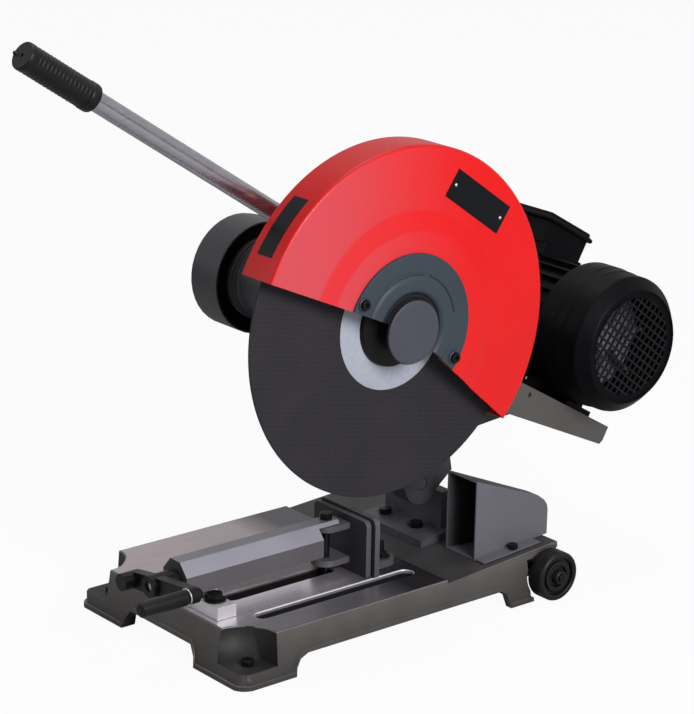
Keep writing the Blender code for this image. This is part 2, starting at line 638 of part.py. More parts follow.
def swing_arm():
    housing = rod(HOUSING_R, (HOUSING_X[0], SPINDLE.y, SPINDLE.z), (HOUSING_X[1], SPINDLE.y, SPINDLE.z), 40)
    web = [(0.214, 0.345), (0.309, 0.170), (0.412, 0.176), (0.520, 0.1850), (0.515, 0.2068), (0.385, 0.2815),
           (0.284, 0.386)]
    join(housing, outline([web], -0.028, 0.028, "X"))
    fork = arc((PIVOT.y, PIVOT.z), FORK_R, 195, 335, 14)
    fork += [(0.4035, 0.1385), (0.4000, 0.1570), (0.410, 0.177), (0.396, 0.207), (0.294, 0.204)]
    join(housing, outline([fork], -FORK_HALF_W, FORK_HALF_W, "X"))
    cut(housing, block((-EAR_HALF_W - 0.0008, 0.325, 0.080), (EAR_HALF_W + 0.0008, 0.460, 0.158)))
    along = Vector((0, cos(HANDLE_TILT), -sin(HANDLE_TILT)))
    join(housing, rod(0.0175, HANDLE_FOOT - along * 0.075, HANDLE_FOOT + along * 0.012, 28))
    cut(housing, rod(HANDLE_R + GAP, HANDLE_FOOT - along * 0.10, HANDLE_FOOT + along * 0.002, 24))
    cut(housing, rod(BEARING_R, (-0.2, SPINDLE.y, SPINDLE.z), (0.2, SPINDLE.y, SPINDLE.z), 40))
    cut(housing, rod(PIN_R + GAP, (-0.1, PIVOT.y, PIVOT.z), (0.1, PIVOT.y, PIVOT.z), 24))
    part(housing, "swing_arm", SWING, DARK_CAST)
    for name, x0, x1 in (("front_bearing", 0.0455, 0.0625), ("rear_bearing", -0.1105, -0.0935)):
        bearing = turned([(BEARING_R - GAP, x1), (BEARING_R - GAP, x0), (0.0250, x0), (0.0245, x0 + 0.002),
                          (0.0185, x0 + 0.002), (0.0180, x0), (SHAFT_R + GAP, x0), (SHAFT_R + GAP, x1)],
                         SPINDLE, "X", 24)
        part(bearing, name, SWING, STEEL)
    front = turned([(0.055, 0.0770), (0.055, 0.0705), (HOUSING_R, 0.0680), (HOUSING_R, 0.0643),
                    (0.0165, 0.0643),
                    (0.0165, 0.0770)], SPINDLE, "X", 28)
    part(front, "front_bearing_cap", SWING, DARK_CAST)
    rear = turned([(0.0165, -0.1123), (HOUSING_R, -0.1123), (HOUSING_R, -0.1195), (0.0455, -0.1205),
                   (0.0455, -0.1270),
                   (0.0500, -0.1280), (0.0500, -0.1351), (0.0165, -0.1351)], SPINDLE, "X", 32)
    part(rear, "rear_bearing_cap", SWING, DARK_CAST)
    tube_end = HANDLE_FOOT - along * HANDLE_LEN
    tube = rod(HANDLE_R, HANDLE_FOOT, tube_end + along * 0.008, 24)
    part(tube, "handle_tube", SWING, STEEL)
    grip = rod(GRIP_R, tube_end + along * GRIP_LEN, tube_end, 28)
    cut(grip, rod(HANDLE_R + GAP, tube_end + along * (GRIP_LEN + 0.02), tube_end + along * (0.008 - GAP), 24))
    part(grip, "handle_grip", SWING, RUBBER)


def guard_wedge():
    first, last = GUARD_ANGLES
    return outline([[(0.0, 0.0)] + arc((0, 0), 0.32, first, last, 8)], 0.05, 0.2, "X",
                   (0, SPINDLE.y, SPINDLE.z))


def wheel_guard():
    face, back, wall = GUARD_FACE_X, GUARD_BACK_X, GUARD_WALL
    inner_step, outer_step = GUARD_STEP_R
    raised = face + GUARD_RISE
    profile = [(0.062, raised), (inner_step, raised), (outer_step, face), (GUARD_R - 0.004, face),
               (GUARD_R - 0.0012, face - 0.0012), (GUARD_R, face - 0.004), (GUARD_R, back), (0.0560, back),
               (0.0560, back + wall), (GUARD_R - wall, back + wall), (GUARD_R - wall, face - 0.0045),
               (GUARD_R - 0.0045, face - wall), (outer_step - 0.0005, face - wall),
               (inner_step - 0.0005, raised - wall),
               (0.062, raised - wall)]
    guard = turned(profile, SPINDLE, "X", 60)
    # The rear wall keeps a full collar round the bearing cap, and the wedge opens the rest.
    cut(guard, guard_wedge())
    part(guard, "wheel_guard", SWING, RED)

    low = raised + GAP
    cover = turned([(0.0, BOSS_X), (BOSS_R - 0.0015, BOSS_X), (BOSS_R, BOSS_X - 0.0015),
                    (BOSS_R + 0.0012, 0.1392),
                    (0.0560, 0.1385), (0.0620, 0.1363), (COVER_R - 0.0015, 0.1363), (COVER_R, 0.1350),
                    (COVER_R, low),
                    (0.0340, low), (0.0340, 0.1408), (0.0, 0.1408)], SPINDLE, "X", 36, closed=False)
    opening = guard_wedge()
    cut(opening, rod(BOSS_R + 0.0026, (0.1400, SPINDLE.y, SPINDLE.z), (0.3, SPINDLE.y, SPINDLE.z), 64))
    cut(cover, opening)
    for index, angle in enumerate((148.0, 327.5)):
        centre = SPINDLE + Vector((0, 0.079 * cos(radians(angle)), 0.079 * sin(radians(angle))))
        cut(cover, rod(0.0027, centre + Vector((0.12, 0, 0)), centre + Vector((0.16, 0, 0)), 16))
        cut(guard, rod(0.0027, centre + Vector((0.12, 0, 0)), centre + Vector((0.16, 0, 0)), 16))
        head = 0.1363 + GAP
        screw = rod(0.0058, centre + Vector((head, 0, 0)), centre + Vector((head + 0.0045, 0, 0)), 20)
        join(screw, rod(0.0024, centre + Vector((head - 0.008, 0, 0)),
                        centre + Vector((head + 0.002, 0, 0)), 14))
        cut(screw, rod(0.0030, centre + Vector((head + 0.0018, 0, 0)), centre + Vector((head + 0.01, 0, 0)),
                       6))
        part(screw, f"cover_screw_{index + 1}", SWING, BLACK_STEEL)
    part(cover, "spindle_cover", SWING, COVER_GREY)


def spindle_group():
    shaft = turned([(0.0, 0.1330), (0.0080, 0.1330), (0.0085, 0.1180), (SHAFT_R, 0.1015), (SHAFT_R, -0.1300),
                    (0.0110, -0.1310), (0.0110, -0.1740), (0.0, -0.1740)], SPINDLE, "X", 24, closed=False)
    part(shaft, "spindle_shaft", SPIN, STEEL)
    inner = turned([(0.0470, 0.1023), (0.0470, 0.0975), (0.0300, 0.0880), (SHAFT_R + GAP, 0.0880),
                    (SHAFT_R + GAP, 0.1023)],
                   SPINDLE, "X", 28)
    part(inner, "inner_flange", SPIN, BLACK_STEEL)
    disc = ring(DISC_R, BORE_R, DISC_X - DISC_T / 2, DISC_X + DISC_T / 2, SPINDLE, "X", 64)
    part(disc, "cutting_disc", SPIN, ABRASIVE)
    outer = turned([(0.0300, 0.1180), (0.0470, 0.1110), (0.0470, 0.1061), (SHAFT_R + GAP, 0.1061),
                    (SHAFT_R + GAP, 0.1180)],
                   SPINDLE, "X", 28)
    part(outer, "outer_flange", SPIN, BLACK_STEEL)
    nut = rod(0.0140, SPINDLE + Vector((0.1184, 0, 0)), SPINDLE + Vector((0.1290, 0, 0)), 6)
    cut(nut, rod(0.0088, SPINDLE + Vector((0.10, 0, 0)), SPINDLE + Vector((0.15, 0, 0)), 24))
    part(nut, "spindle_nut", SPIN, BLACK_STEEL)
    part(pulley(SPINDLE_PULLEY_R, 0.0110, SPINDLE), "spindle_pulley", SPIN, DARK_CAST)


def pulley(radius, bore, at):
    bottom = radius - GROOVE_DEPTH
    half = 0.013
    profile = [(radius, PULLEY_X + half), (radius, PULLEY_X + GROOVE_HALF_W),
               (bottom, PULLEY_X + GROOVE_HALF_W * 0.9),
               (bottom, PULLEY_X - GROOVE_HALF_W * 0.9), (radius, PULLEY_X - GROOVE_HALF_W),
               (radius, PULLEY_X - half),
               (bore + GAP, PULLEY_X - half), (bore + GAP, PULLEY_X + half)]
    return turned(profile, at, "X", 28)


def belt_drive():
    spindle = (SPINDLE.y, SPINDLE.z)
    motor = (MOTOR.y, MOTOR.z)
    inner = [SPINDLE_PULLEY_R - GROOVE_DEPTH + 0.0008, MOTOR_PULLEY_R - GROOVE_DEPTH + 0.0008]
    loops = [stadium(spindle, inner[0] + BELT_T, motor, inner[1] + BELT_T, 24),
             stadium(spindle, inner[0], motor, inner[1], 24)]
    belt = outline(loops, PULLEY_X - BELT_HALF_W, PULLEY_X + BELT_HALF_W, "X")
    part(belt, "drive_belt", SWING, RUBBER)
    big, small = BELT_COVER_R
    wall = 0.0025
    x0, x1 = BELT_COVER_X
    shell = outline([stadium(spindle, big, motor, small, 20)], x0, x1, "X")
    cut(shell, outline([stadium(spindle, big - wall, motor, small - wall, 20)], x0 + wall, x1 + 0.02, "X"))
    part(shell, "belt_cover", SWING, DARK_CAST)
    rim = wall + GAP
    back = outline([stadium(spindle, big - rim, motor, small - rim, 20)], -0.1385, -0.1355, "X")
    cut(back, rod(0.022, (-0.2, *spindle), (0.0, *spindle), 32))
    cut(back, rod(0.022, (-0.2, *motor), (0.0, *motor), 32))
    part(back, "belt_cover_back", SWING, MOTOR_BLACK)


def tilted(shape):
    """Turn a shape made upright, and what is cut from it, about the motor axis to the motor plate's slope."""
    for piece in [shape] + [step.object for step in shape.modifiers]:
        piece.data.transform(Matrix.Translation(-MOTOR) @ piece.matrix_basis)
        piece.data.transform(Matrix.Rotation(MOTOR_TILT, 4, "X"))
        piece.rotation_euler = (0, 0, 0)
        piece.location = MOTOR
    return shape


def motor():
    y, z = MOTOR.y, MOTOR.z
    foot_z = z - MOTOR_FEET_H
    body = rod(BODY_R, (BODY_X[0], y, z), (BODY_X[1], y, z), 56)
    for step in range(RIB_COUNT):
        angle = 360 * (step + 0.5) / RIB_COUNT
        if 62 < angle < 118 or 222 < angle < 318:
            continue
        rib = block((BODY_X[0] + 0.012, BODY_R - 0.003, -0.0016), (BODY_X[1] - 0.004, BODY_R + RIB_H, 0.0016))
        rib.data.transform(Matrix.Translation(rib.location))
        rib.data.transform(Matrix.Rotation(radians(angle), 4, "X"))
        rib.location = MOTOR
        join(body, tilted(rib))
    for hand in (1, -1):
        leg = [(y + hand * 0.030, foot_z + 0.010), (y + hand * 0.078, foot_z + 0.010),
               (y + hand * 0.078, foot_z + GAP),
               (y + hand * 0.030, foot_z + GAP)]
        knee = [(y + hand * 0.052, foot_z + 0.009), (y + hand * 0.062, foot_z + 0.009),
                (y + hand * 0.060, z - 0.035),
                (y + hand * 0.046, z - 0.050)]
        if hand < 0:
            leg.reverse()
            knee.reverse()
        join(body, tilted(outline([leg], -0.060, 0.040, "X")), tilted(outline([knee], -0.058, 0.038, "X")))
    seat = block((-0.112, y - 0.036, z + 0.055), (-0.036, y + 0.036, z + 0.084))
    join(body, tilted(seat))
    cut(body, rod(0.0640, (-0.2, y, z), (0.2, y, z), 40))
    part(body, "motor_frame", SWING, MOTOR_BLACK)

    core = ring(0.0632, 0.0420, -0.075, 0.015, MOTOR, "X", 32)
    part(core, "stator_core", SWING, STEEL)
    drive_end = turned([(0.0150, -0.1153), (0.0760, -0.1153), (0.0760, -0.1215), (0.0600, -0.1260),
                        (0.0300, -0.1290),
                        (0.0150, -0.1290)], MOTOR, "X", 28)
    part(drive_end, "drive_end_shield", SWING, MOTOR_BLACK)
    fan_end = turned([(0.0150, 0.0590), (0.0300, 0.0590), (0.0600, 0.0545), (0.0760, 0.0540),
                      (0.0760, 0.0476),
                      (0.0150, 0.0476)], MOTOR, "X", 28)
    part(fan_end, "fan_end_shield", SWING, MOTOR_BLACK)
    x0, x1 = COWL_X
    wall = 0.0018
    grille_r = 0.0686
    cowl = turned([(0.0, x1 - 0.0012), (grille_r - 0.002, x1 - 0.0012), (grille_r, x1),
                   (grille_r + 0.002, x1 - 0.0006),
                   (COWL_R - 0.0052, x1 - 0.0085), (COWL_R - 0.0004, x1 - 0.0145), (COWL_R, x1 - 0.0165),
                   (COWL_R, 0.0905),
                   (COWL_R + 0.001, 0.0900),
                   (COWL_R + 0.001, 0.0755), (COWL_R + 0.002, 0.0750), (COWL_R + 0.002, x0),
                   (COWL_R - 0.0035, x0),
                   (COWL_R - 0.0035, 0.0905), (COWL_R - wall, x1 - 0.019), (COWL_R - 0.0072, x1 - 0.011),
                   (grille_r, x1 - 0.003), (0.0, x1 - 0.003)], MOTOR, "X", 40, closed=False)
    part(cowl, "fan_cowl", SWING, MOTOR_BLACK)

    box = block((-0.114, y - 0.038, z + 0.0843), (-0.044, y + 0.038, z + 0.1120))
    cut(box, block((-0.110, y - 0.034, z + 0.0883), (-0.048, y + 0.034, z + 0.13)))
    cut(box, rod(0.0078, (-0.080, y + 0.02, z + 0.099), (-0.080, y + 0.06, z + 0.099), 20))
    part(tilted(box), "terminal_box", SWING, MOTOR_BLACK)
    lid = block((-0.118, y - 0.044, z + 0.1123), (-0.040, y + 0.044, z + 0.1180))
    join(lid, block((-0.114, y - 0.040, z + 0.1170), (-0.044, y + 0.040, z + 0.1235)))
    part(tilted(lid), "terminal_box_lid", SWING, MOTOR_BLACK)
    gland = rod(0.0075, (-0.080, y + 0.0345, z + 0.099), (-0.080, y + 0.052, z + 0.099), 20)
    join(gland, rod(0.0115, (-0.080, y + 0.0384, z + 0.099), (-0.080, y + 0.047, z + 0.099), 6))
    cut(gland, rod(0.0045, (-0.080, y, z + 0.099), (-0.080, y + 0.09, z + 0.099), 16))
    part(tilted(gland), "cable_gland", SWING, RUBBER)

    plate_z = foot_z
    x0, x1 = PLATE_X
    near, far = y - 0.118, y + 0.074
    # The side view tapers from the arm to the free end.
    side = [(near, plate_z), (near - 0.006, plate_z - 0.043), (far - 0.003, plate_z - 0.024),
            (far, plate_z - 0.018), (far, plate_z)]
    plate = outline([side], x0, x1, "X")
    room = [(near - 0.05, plate_z - PLATE_T), (near - 0.05, plate_z - 0.08), (far + 0.05, plate_z - 0.08),
            (far + 0.05, plate_z - PLATE_T)]
    cut(plate, outline([room], x0 + 0.005, x1 - 0.005, "X"))
    tilted(plate)
    cut(plate, rod(0.0030, (x1 - 0.02, 0.489, 0.2256), (x1 + 0.02, 0.489, 0.2256), 14))
    for index, (x, across) in enumerate(((-0.010, 0.069), (-0.010, -0.069))):
        hole = tilted(rod(0.0044, (x, y + across, plate_z - 0.03), (x, y + across, plate_z + 0.03), 14))
        cut(plate, hole)
        cut(body, hole)
        bolt = hex_bolt(0.0070, 0.0055, 0.0040, 0.020, (x, y + across, plate_z + 0.0103))
        part(tilted(bolt), f"motor_bolt_{index + 1}", SWING, BLACK_STEEL)
    part(plate, "motor_plate", SWING, SHEET_GREY)


def rotor_group():
    shaft = turned([(0.0, 0.0850), (0.0080, 0.0850), (0.0080, 0.0620), (0.0120, 0.0610), (0.0120, 0.0180),
                    (0.0410, 0.0170), (0.0410, -0.0770), (0.0120, -0.0780), (0.0120, -0.1760),
                    (0.0, -0.1760)],
                   MOTOR, "X", 24, closed=False)
    part(shaft, "motor_rotor", ROTOR, STEEL)
    part(pulley(MOTOR_PULLEY_R, 0.0120, MOTOR), "motor_pulley", ROTOR, DARK_CAST)
    fan = ring(0.0160, 0.0080 + GAP, 0.0640, 0.0840, MOTOR, "X", 24)
    join(fan, ring(0.0680, 0.0120, 0.0640, 0.0665, MOTOR, "X", 28))
    for step in range(7):
        blade = block((0.0660, 0.0140, -0.0012), (0.0860, 0.0670, 0.0012))
        blade.data.transform(Matrix.Translation(blade.location))
        blade.data.transform(Matrix.Rotation(2 * pi * step / 7, 4, "X"))
        blade.location = MOTOR
        join(fan, blade)
    part(fan, "cooling_fan", ROTOR, MOTOR_BLACK)


base_casting()
rolling_gear()
base_fittings()
fence()
pivot_bracket()
spark_box()
vice()
swing_arm()
wheel_guard()
spindle_group()
belt_drive()
motor()
rotor_group()
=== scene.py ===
"""Looks of the abrasive chop saw: finishes, rounded castings, turned covers, grille, grip and studio."""
import json
from math import cos, pi, radians, sin

import bpy
from mathutils import Matrix, Vector


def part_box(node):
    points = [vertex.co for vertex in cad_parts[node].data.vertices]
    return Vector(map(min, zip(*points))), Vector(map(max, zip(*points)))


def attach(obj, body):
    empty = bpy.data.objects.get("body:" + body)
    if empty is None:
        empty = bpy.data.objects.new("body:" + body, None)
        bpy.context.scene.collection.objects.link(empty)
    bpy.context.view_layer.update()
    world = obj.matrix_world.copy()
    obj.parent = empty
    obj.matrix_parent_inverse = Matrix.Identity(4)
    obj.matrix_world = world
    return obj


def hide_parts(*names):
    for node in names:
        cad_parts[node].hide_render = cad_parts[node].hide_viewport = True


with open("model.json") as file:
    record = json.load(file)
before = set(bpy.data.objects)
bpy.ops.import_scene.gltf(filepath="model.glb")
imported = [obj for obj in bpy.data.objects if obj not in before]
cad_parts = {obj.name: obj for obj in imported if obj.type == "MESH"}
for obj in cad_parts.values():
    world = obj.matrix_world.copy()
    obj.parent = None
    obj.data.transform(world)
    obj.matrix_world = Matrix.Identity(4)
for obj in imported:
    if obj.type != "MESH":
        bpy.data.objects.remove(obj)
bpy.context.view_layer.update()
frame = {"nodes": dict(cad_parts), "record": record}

NODES = frame["nodes"]
RECORD = frame["record"]
BODY_OF = {node: body for body, nodes in RECORD["behaviour"]["bodies"].items() for node in nodes}
SLOT_OF = {entry["node"]: entry["material_slot"] for entry in RECORD["subparts"]}
JOINTS = {joint["name"]: joint for joint in RECORD["behaviour"]["joints"]}

SPINDLE = Vector(JOINTS["spindle_spin"]["pos_m"])
MOTOR = Vector(JOINTS["rotor_spin"]["pos_m"])
SCREW = Vector(JOINTS["screw_turn"]["pos_m"])
X_AXIS = Vector((1, 0, 0))
FRONT = Vector((0, -1, 0))
BLACK = (0, 0, 0, 1)
WHITE = (1, 1, 1, 1)

# The guard and its cover: where their sweep starts, how far it goes, and the height of the pressed step.
GUARD_START = -41.1
GUARD_SWEEP = 197.4
GUARD_STEP = 0.0045

# Each slot of the table: its line, its half width and the centres of its two round ends.
CUTTING_SLOT = (0.1042, 0.0095, SPINDLE.y - 0.1762, SPINDLE.y + 0.0308)
GUIDE_SLOT = (0.0425, 0.0085, SPINDLE.y - 0.1732, SPINDLE.y - 0.0377)
TABLE_END_Y = SPINDLE.y + 0.0558
POCKET_X = 0.150
POCKET_Y = SPINDLE.y - 0.2372
POCKET_REACH = 0.0445
AXLE_LUG_X = (0.1115, 0.1285)
SPARK_WALL_X = 0.126

CAMERA_AZIMUTH = radians(50.205)
CAMERA_ELEVATION = radians(17.4801)
CAMERA_ROLL = radians(1.1476)
CAMERA_DISTANCE = 3.0514
CAMERA_FOCAL_PX = 2639.24
IMAGE_HEIGHT_PX = 714
SENSOR_MM = 36.0
CAMERA_TARGET = Vector((0.0, 0.01857, 0.2932))


def paint(red, green, blue):
    """A colour given as 0 to 255 screen values, as a shader's linear colour."""
    def linear(value):
        value = value / 255
        return value / 12.92 if value <= 0.04045 else ((value + 0.055) / 1.055) ** 2.4
    return (linear(red), linear(green), linear(blue), 1.0)


def grey(value):
    return (value, value, value, 1)


def shade(colour, factor):
    return (colour[0] * factor, colour[1] * factor, colour[2] * factor, 1.0)


class Finish:
    """A material under construction, with its shader and the position it reads patterns at."""

    def __init__(self, name, roughness, metallic=0.0, coat=0.0, sheen=0.5):
        self.material = bpy.data.materials.new(name)
        self.material.use_nodes = True
        self.nodes = self.material.node_tree.nodes
        self.links = self.material.node_tree.links
        self.shader = self.nodes["Principled BSDF"]
        self.shader.inputs["Roughness"].default_value = roughness
        self.shader.inputs["Metallic"].default_value = metallic
        self.shader.inputs["Coat Weight"].default_value = coat
        self.shader.inputs["Specular IOR Level"].default_value = sheen
        self.place = self.nodes.new("ShaderNodeTexCoord").outputs["Object"]

    def stretched(self, scale, turn=(0, 0, 0), offset=(0, 0, 0)):
        mapping = self.nodes.new("ShaderNodeMapping")
        mapping.inputs["Scale"].default_value = scale
        mapping.inputs["Rotation"].default_value = turn
        mapping.inputs["Location"].default_value = offset
        self.links.new(self.place, mapping.inputs["Vector"])
        return mapping.outputs["Vector"]

    def noise(self, scale, detail=4.0, place=None):
        texture = self.nodes.new("ShaderNodeTexNoise")
        texture.inputs["Scale"].default_value = scale
        texture.inputs["Detail"].default_value = detail
        self.links.new(place or self.place, texture.inputs["Vector"])
        return texture.outputs["Fac"]

    def ramp(self, value, stops):
        ramp = self.nodes.new("ShaderNodeValToRGB")
        elements = ramp.color_ramp.elements
        while len(elements) < len(stops):
            elements.new(0.5)
        for element, (position, colour) in zip(elements, stops):
            element.position = position
            element.color = colour
        self.links.new(value, ramp.inputs["Fac"])
        return ramp.outputs["Color"]

    def spread(self, value, low, high):
        """A 0 to 1 pattern as a number between two limits."""
        remap = self.nodes.new("ShaderNodeMapRange")
        remap.inputs["To Min"].default_value = low
        remap.inputs["To Max"].default_value = high
        self.links.new(value, remap.inputs["Value"])
        return remap.outputs["Result"]

    def maths(self, operation, first, second):
        node = self.nodes.new("ShaderNodeMath")
        node.operation = operation
        for socket, value in zip(node.inputs, (first, second)):
            if isinstance(value, (int, float)):
                socket.default_value = value
            else:
                self.links.new(value, socket)
        return node.outputs["Value"]

    def axes(self, place=None):
        """The X, Y and Z of a position as separate numbers."""
        parts = self.nodes.new("ShaderNodeSeparateXYZ")
        self.links.new(place or self.place, parts.inputs["Vector"])
        return parts.outputs

    def mixed(self, factor, first, second, blend="MIX"):
        node = self.nodes.new("ShaderNodeMix")
        node.data_type = "RGBA"
        node.blend_type = blend
        if isinstance(factor, float):
            node.inputs["Factor"].default_value = factor
        else:
            self.links.new(factor, node.inputs["Factor"])
        slots = [socket for socket in node.inputs if socket.type == "RGBA"]
        for socket, value in zip(slots, (first, second)):
            if isinstance(value, tuple):
                socket.default_value = value
            else:
                self.links.new(value, socket)
        return [socket for socket in node.outputs if socket.type == "RGBA"][0]

    def colour(self, value):
        self.links.new(value, self.shader.inputs["Base Color"])

    def gloss(self, value):
        self.links.new(value, self.shader.inputs["Roughness"])

    def relief(self, value, depth, strength=1.0):
        bump = self.nodes.new("ShaderNodeBump")
        bump.inputs["Distance"].default_value = depth
        bump.inputs["Strength"].default_value = strength
        self.links.new(value, bump.inputs["Height"])
        self.links.new(bump.outputs["Normal"], self.shader.inputs["Normal"])


def enamel(name, colour, roughness, peel=0.00012, mottling=0.12, coat=0.0, metallic=0.0, grain=260,
           sheen=0.5):
    """Sprayed paint: a faint orange peel, slow changes of tone and dusty patches."""
    finish = Finish(name, roughness, metallic, coat, sheen)
    tone = finish.noise(9, 5)
    finish.colour(finish.ramp(tone, [(0.3, shade(colour, 1 - mottling)), (0.7, shade(colour, 1 + mottling))]))
    finish.gloss(finish.spread(finish.noise(34, 6), roughness - 0.07, roughness + 0.09))
    finish.relief(finish.noise(grain, 3), peel)
    return finish.material


def guard_enamel():
    """Red paint with a soft gloss, a painted pale sheen on its flat faces towards the operator's side and
    painted shade on its rim band.
    """
    finish = Finish("red_guard_enamel", 0.38, 0.0, 0.05, 0.25)
    fresh = paint(224, 20, 22)
    tone = finish.noise(9, 5)
    colour = finish.ramp(tone, [(0.3, shade(fresh, 0.97)), (0.7, shade(fresh, 1.03))])
    centred = finish.nodes.new("ShaderNodeVectorMath")
    centred.operation = "SUBTRACT"
    centred.inputs[1].default_value = SPINDLE
    finish.links.new(finish.place, centred.inputs[0])
    parts = finish.axes(centred.outputs["Vector"])
    reach = finish.nodes.new("ShaderNodeMapRange")
    reach.interpolation_type = "SMOOTHSTEP"
    reach.inputs["From Min"].default_value = 0.12
    reach.inputs["From Max"].default_value = -0.17
    reach.inputs["To Max"].default_value = 0.62
    finish.links.new(parts["Y"], reach.inputs["Value"])
    span = finish.maths("POWER", finish.maths("ADD", finish.maths("POWER", parts["Y"], 2.0),
                                              finish.maths("POWER", parts["Z"], 2.0)), 0.5)
    # The painted sheen is weaker on the pressed step and the rim.
    flat = finish.ramp(finish.maths("MULTIPLY", span, 4.0),
                       [(0.440, WHITE), (0.456, grey(0.4)), (0.532, grey(0.4)),
                        (0.548, WHITE), (0.812, WHITE), (0.826, grey(0.12))])
    painted_sheen = finish.maths("MULTIPLY", reach.outputs["Result"], flat)
    # Painted shade: the rim band is a darker red.
    rim = finish.ramp(finish.maths("MULTIPLY", span, 4.0), [(0.818, BLACK), (0.829, WHITE)])
    sheened = finish.mixed(painted_sheen, colour, paint(196, 92, 102))
    finish.colour(finish.mixed(rim, sheened, paint(188, 13, 15)))
    finish.gloss(finish.spread(finish.noise(34, 6), 0.31, 0.46))
    finish.relief(finish.noise(260, 3), 0.00008)
    return finish.material


def hammered_casting(name, colour, roughness=0.5, sheen=0.4, shaded=False):
    """Thick paint over a sand casting: fine pits, broad waves and worn lighter spots."""
    finish = Finish(name, roughness, 0.15, 0.0, sheen)
    broad = finish.noise(26, 6)
    fine = finish.noise(420, 4)
    tone = finish.ramp(broad, [(0.28, shade(colour, 0.84)), (0.52, colour), (0.78, shade(colour, 1.16))])
    speck = finish.ramp(fine, [(0.62, BLACK), (0.76, WHITE)])
    tone = finish.mixed(speck, tone, shade(colour, 1.28))
    if shaded:
        # Painted shade: darker towards the floor.
        low = finish.ramp(finish.maths("MULTIPLY", finish.axes()["Z"], 15.0),
                          [(0.10, grey(0.75)), (0.62, grey(0.25)), (0.80, BLACK)])
        tone = finish.mixed(low, tone, shade(colour, 0.30))
    finish.colour(tone)
    finish.gloss(finish.spread(broad, roughness - 0.08, roughness + 0.12))
    finish.relief(finish.maths("ADD", fine, finish.maths("MULTIPLY", broad, 1.6)), 0.0003, 0.7)
    return finish.material


def machined_table():
    """Ground iron with painted light: a painted pale reflection behind the vice and by the slot, a painted
    shadow along the ram and a painted dark reflection at the rear.
    """
    finish = Finish("ground_iron_table", 0.30, 0.8)
    scratches = finish.noise(1.0, 6, finish.stretched((900, 26, 26)))
    stain = finish.noise(17, 5)
    parts = finish.axes()
    wander = finish.maths("ADD", parts["X"], finish.maths("MULTIPLY", stain, 0.03))
    place = finish.maths("ADD", finish.maths("MULTIPLY", wander, 3.3), 0.45)
    # Painted light and shade across the table by X: pale reflection, shadow along the ram, bright reflection
    # by the slot.
    tone = finish.ramp(place, [(0.05, paint(190, 176, 180)), (0.40, paint(184, 171, 175)),
                               (0.50, paint(100, 94, 97)), (0.60, paint(104, 98, 101)),
                               (0.66, paint(228, 219, 231)), (0.81, paint(224, 216, 228)),
                               (0.90, paint(184, 180, 189))])
    # Painted dark reflection towards the rear.
    rear = finish.maths("ADD", finish.maths("MULTIPLY", parts["Y"], 4.0), 0.5)
    tone = finish.mixed(finish.ramp(rear, [(0.32, BLACK), (0.52, WHITE)]), tone, paint(78, 74, 80))
    worn = finish.ramp(scratches, [(0.30, grey(0.80)), (0.70, WHITE)])
    finish.colour(finish.mixed(1.0, tone, worn, "MULTIPLY"))
    finish.gloss(finish.spread(stain, 0.22, 0.36))
    finish.relief(scratches, 0.00005)
    return finish.material


def slot_wall():
    """The cut edge of the table, grey above and black as painted shade where it opens into the hollow base.
    """
    finish = Finish("slot_wall", 0.45, 0.3)
    height = finish.maths("MULTIPLY", finish.maths("SUBTRACT", finish.axes()["Z"], 0.045), 80.0)
    finish.colour(finish.ramp(height, [(0.58, paint(10, 10, 11)), (0.66, paint(128, 126, 131))]))
    finish.relief(finish.noise(400, 3), 0.0001)
    return finish.material


def bright_steel(name, along=(1, 1, 1), roughness=0.24, colour=(205, 203, 206)):
    """Turned or drawn steel with streaks along its length."""
    finish = Finish(name, roughness, 1.0)
    base = paint(*colour)
    streaks = finish.noise(1.0, 5, finish.stretched(along))
    finish.colour(finish.ramp(streaks, [(0.3, shade(base, 0.88)), (0.7, shade(base, 1.04))]))
    finish.gloss(finish.spread(streaks, roughness - 0.06, roughness + 0.10))
    finish.relief(streaks, 0.00004)
    return finish.material


def black_oxide():
    finish = Finish("black_oxide_steel", 0.40, 0.1, 0.0, 0.2)
    base = paint(14, 14, 16)
    wear = finish.noise(120, 6)
    finish.colour(finish.ramp(wear, [(0.35, shade(base, 0.7)), (0.62, base), (0.82, shade(base, 2.4))]))
    finish.gloss(finish.spread(wear, 0.30, 0.50))
    finish.relief(finish.noise(600, 3), 0.00006)
    return finish.material


def moulded_rubber(name, colour=(20, 20, 22), roughness=0.62, sheen=0.2):
    finish = Finish(name, roughness, 0.0, 0.0, sheen)
    base = paint(*colour)
    dust = finish.noise(45, 6)
    finish.colour(finish.ramp(dust, [(0.35, shade(base, 0.8)), (0.75, shade(base, 1.5))]))
    finish.gloss(finish.spread(dust, roughness - 0.10, roughness + 0.15))
    finish.relief(finish.noise(900, 2), 0.00008)
    return finish.material


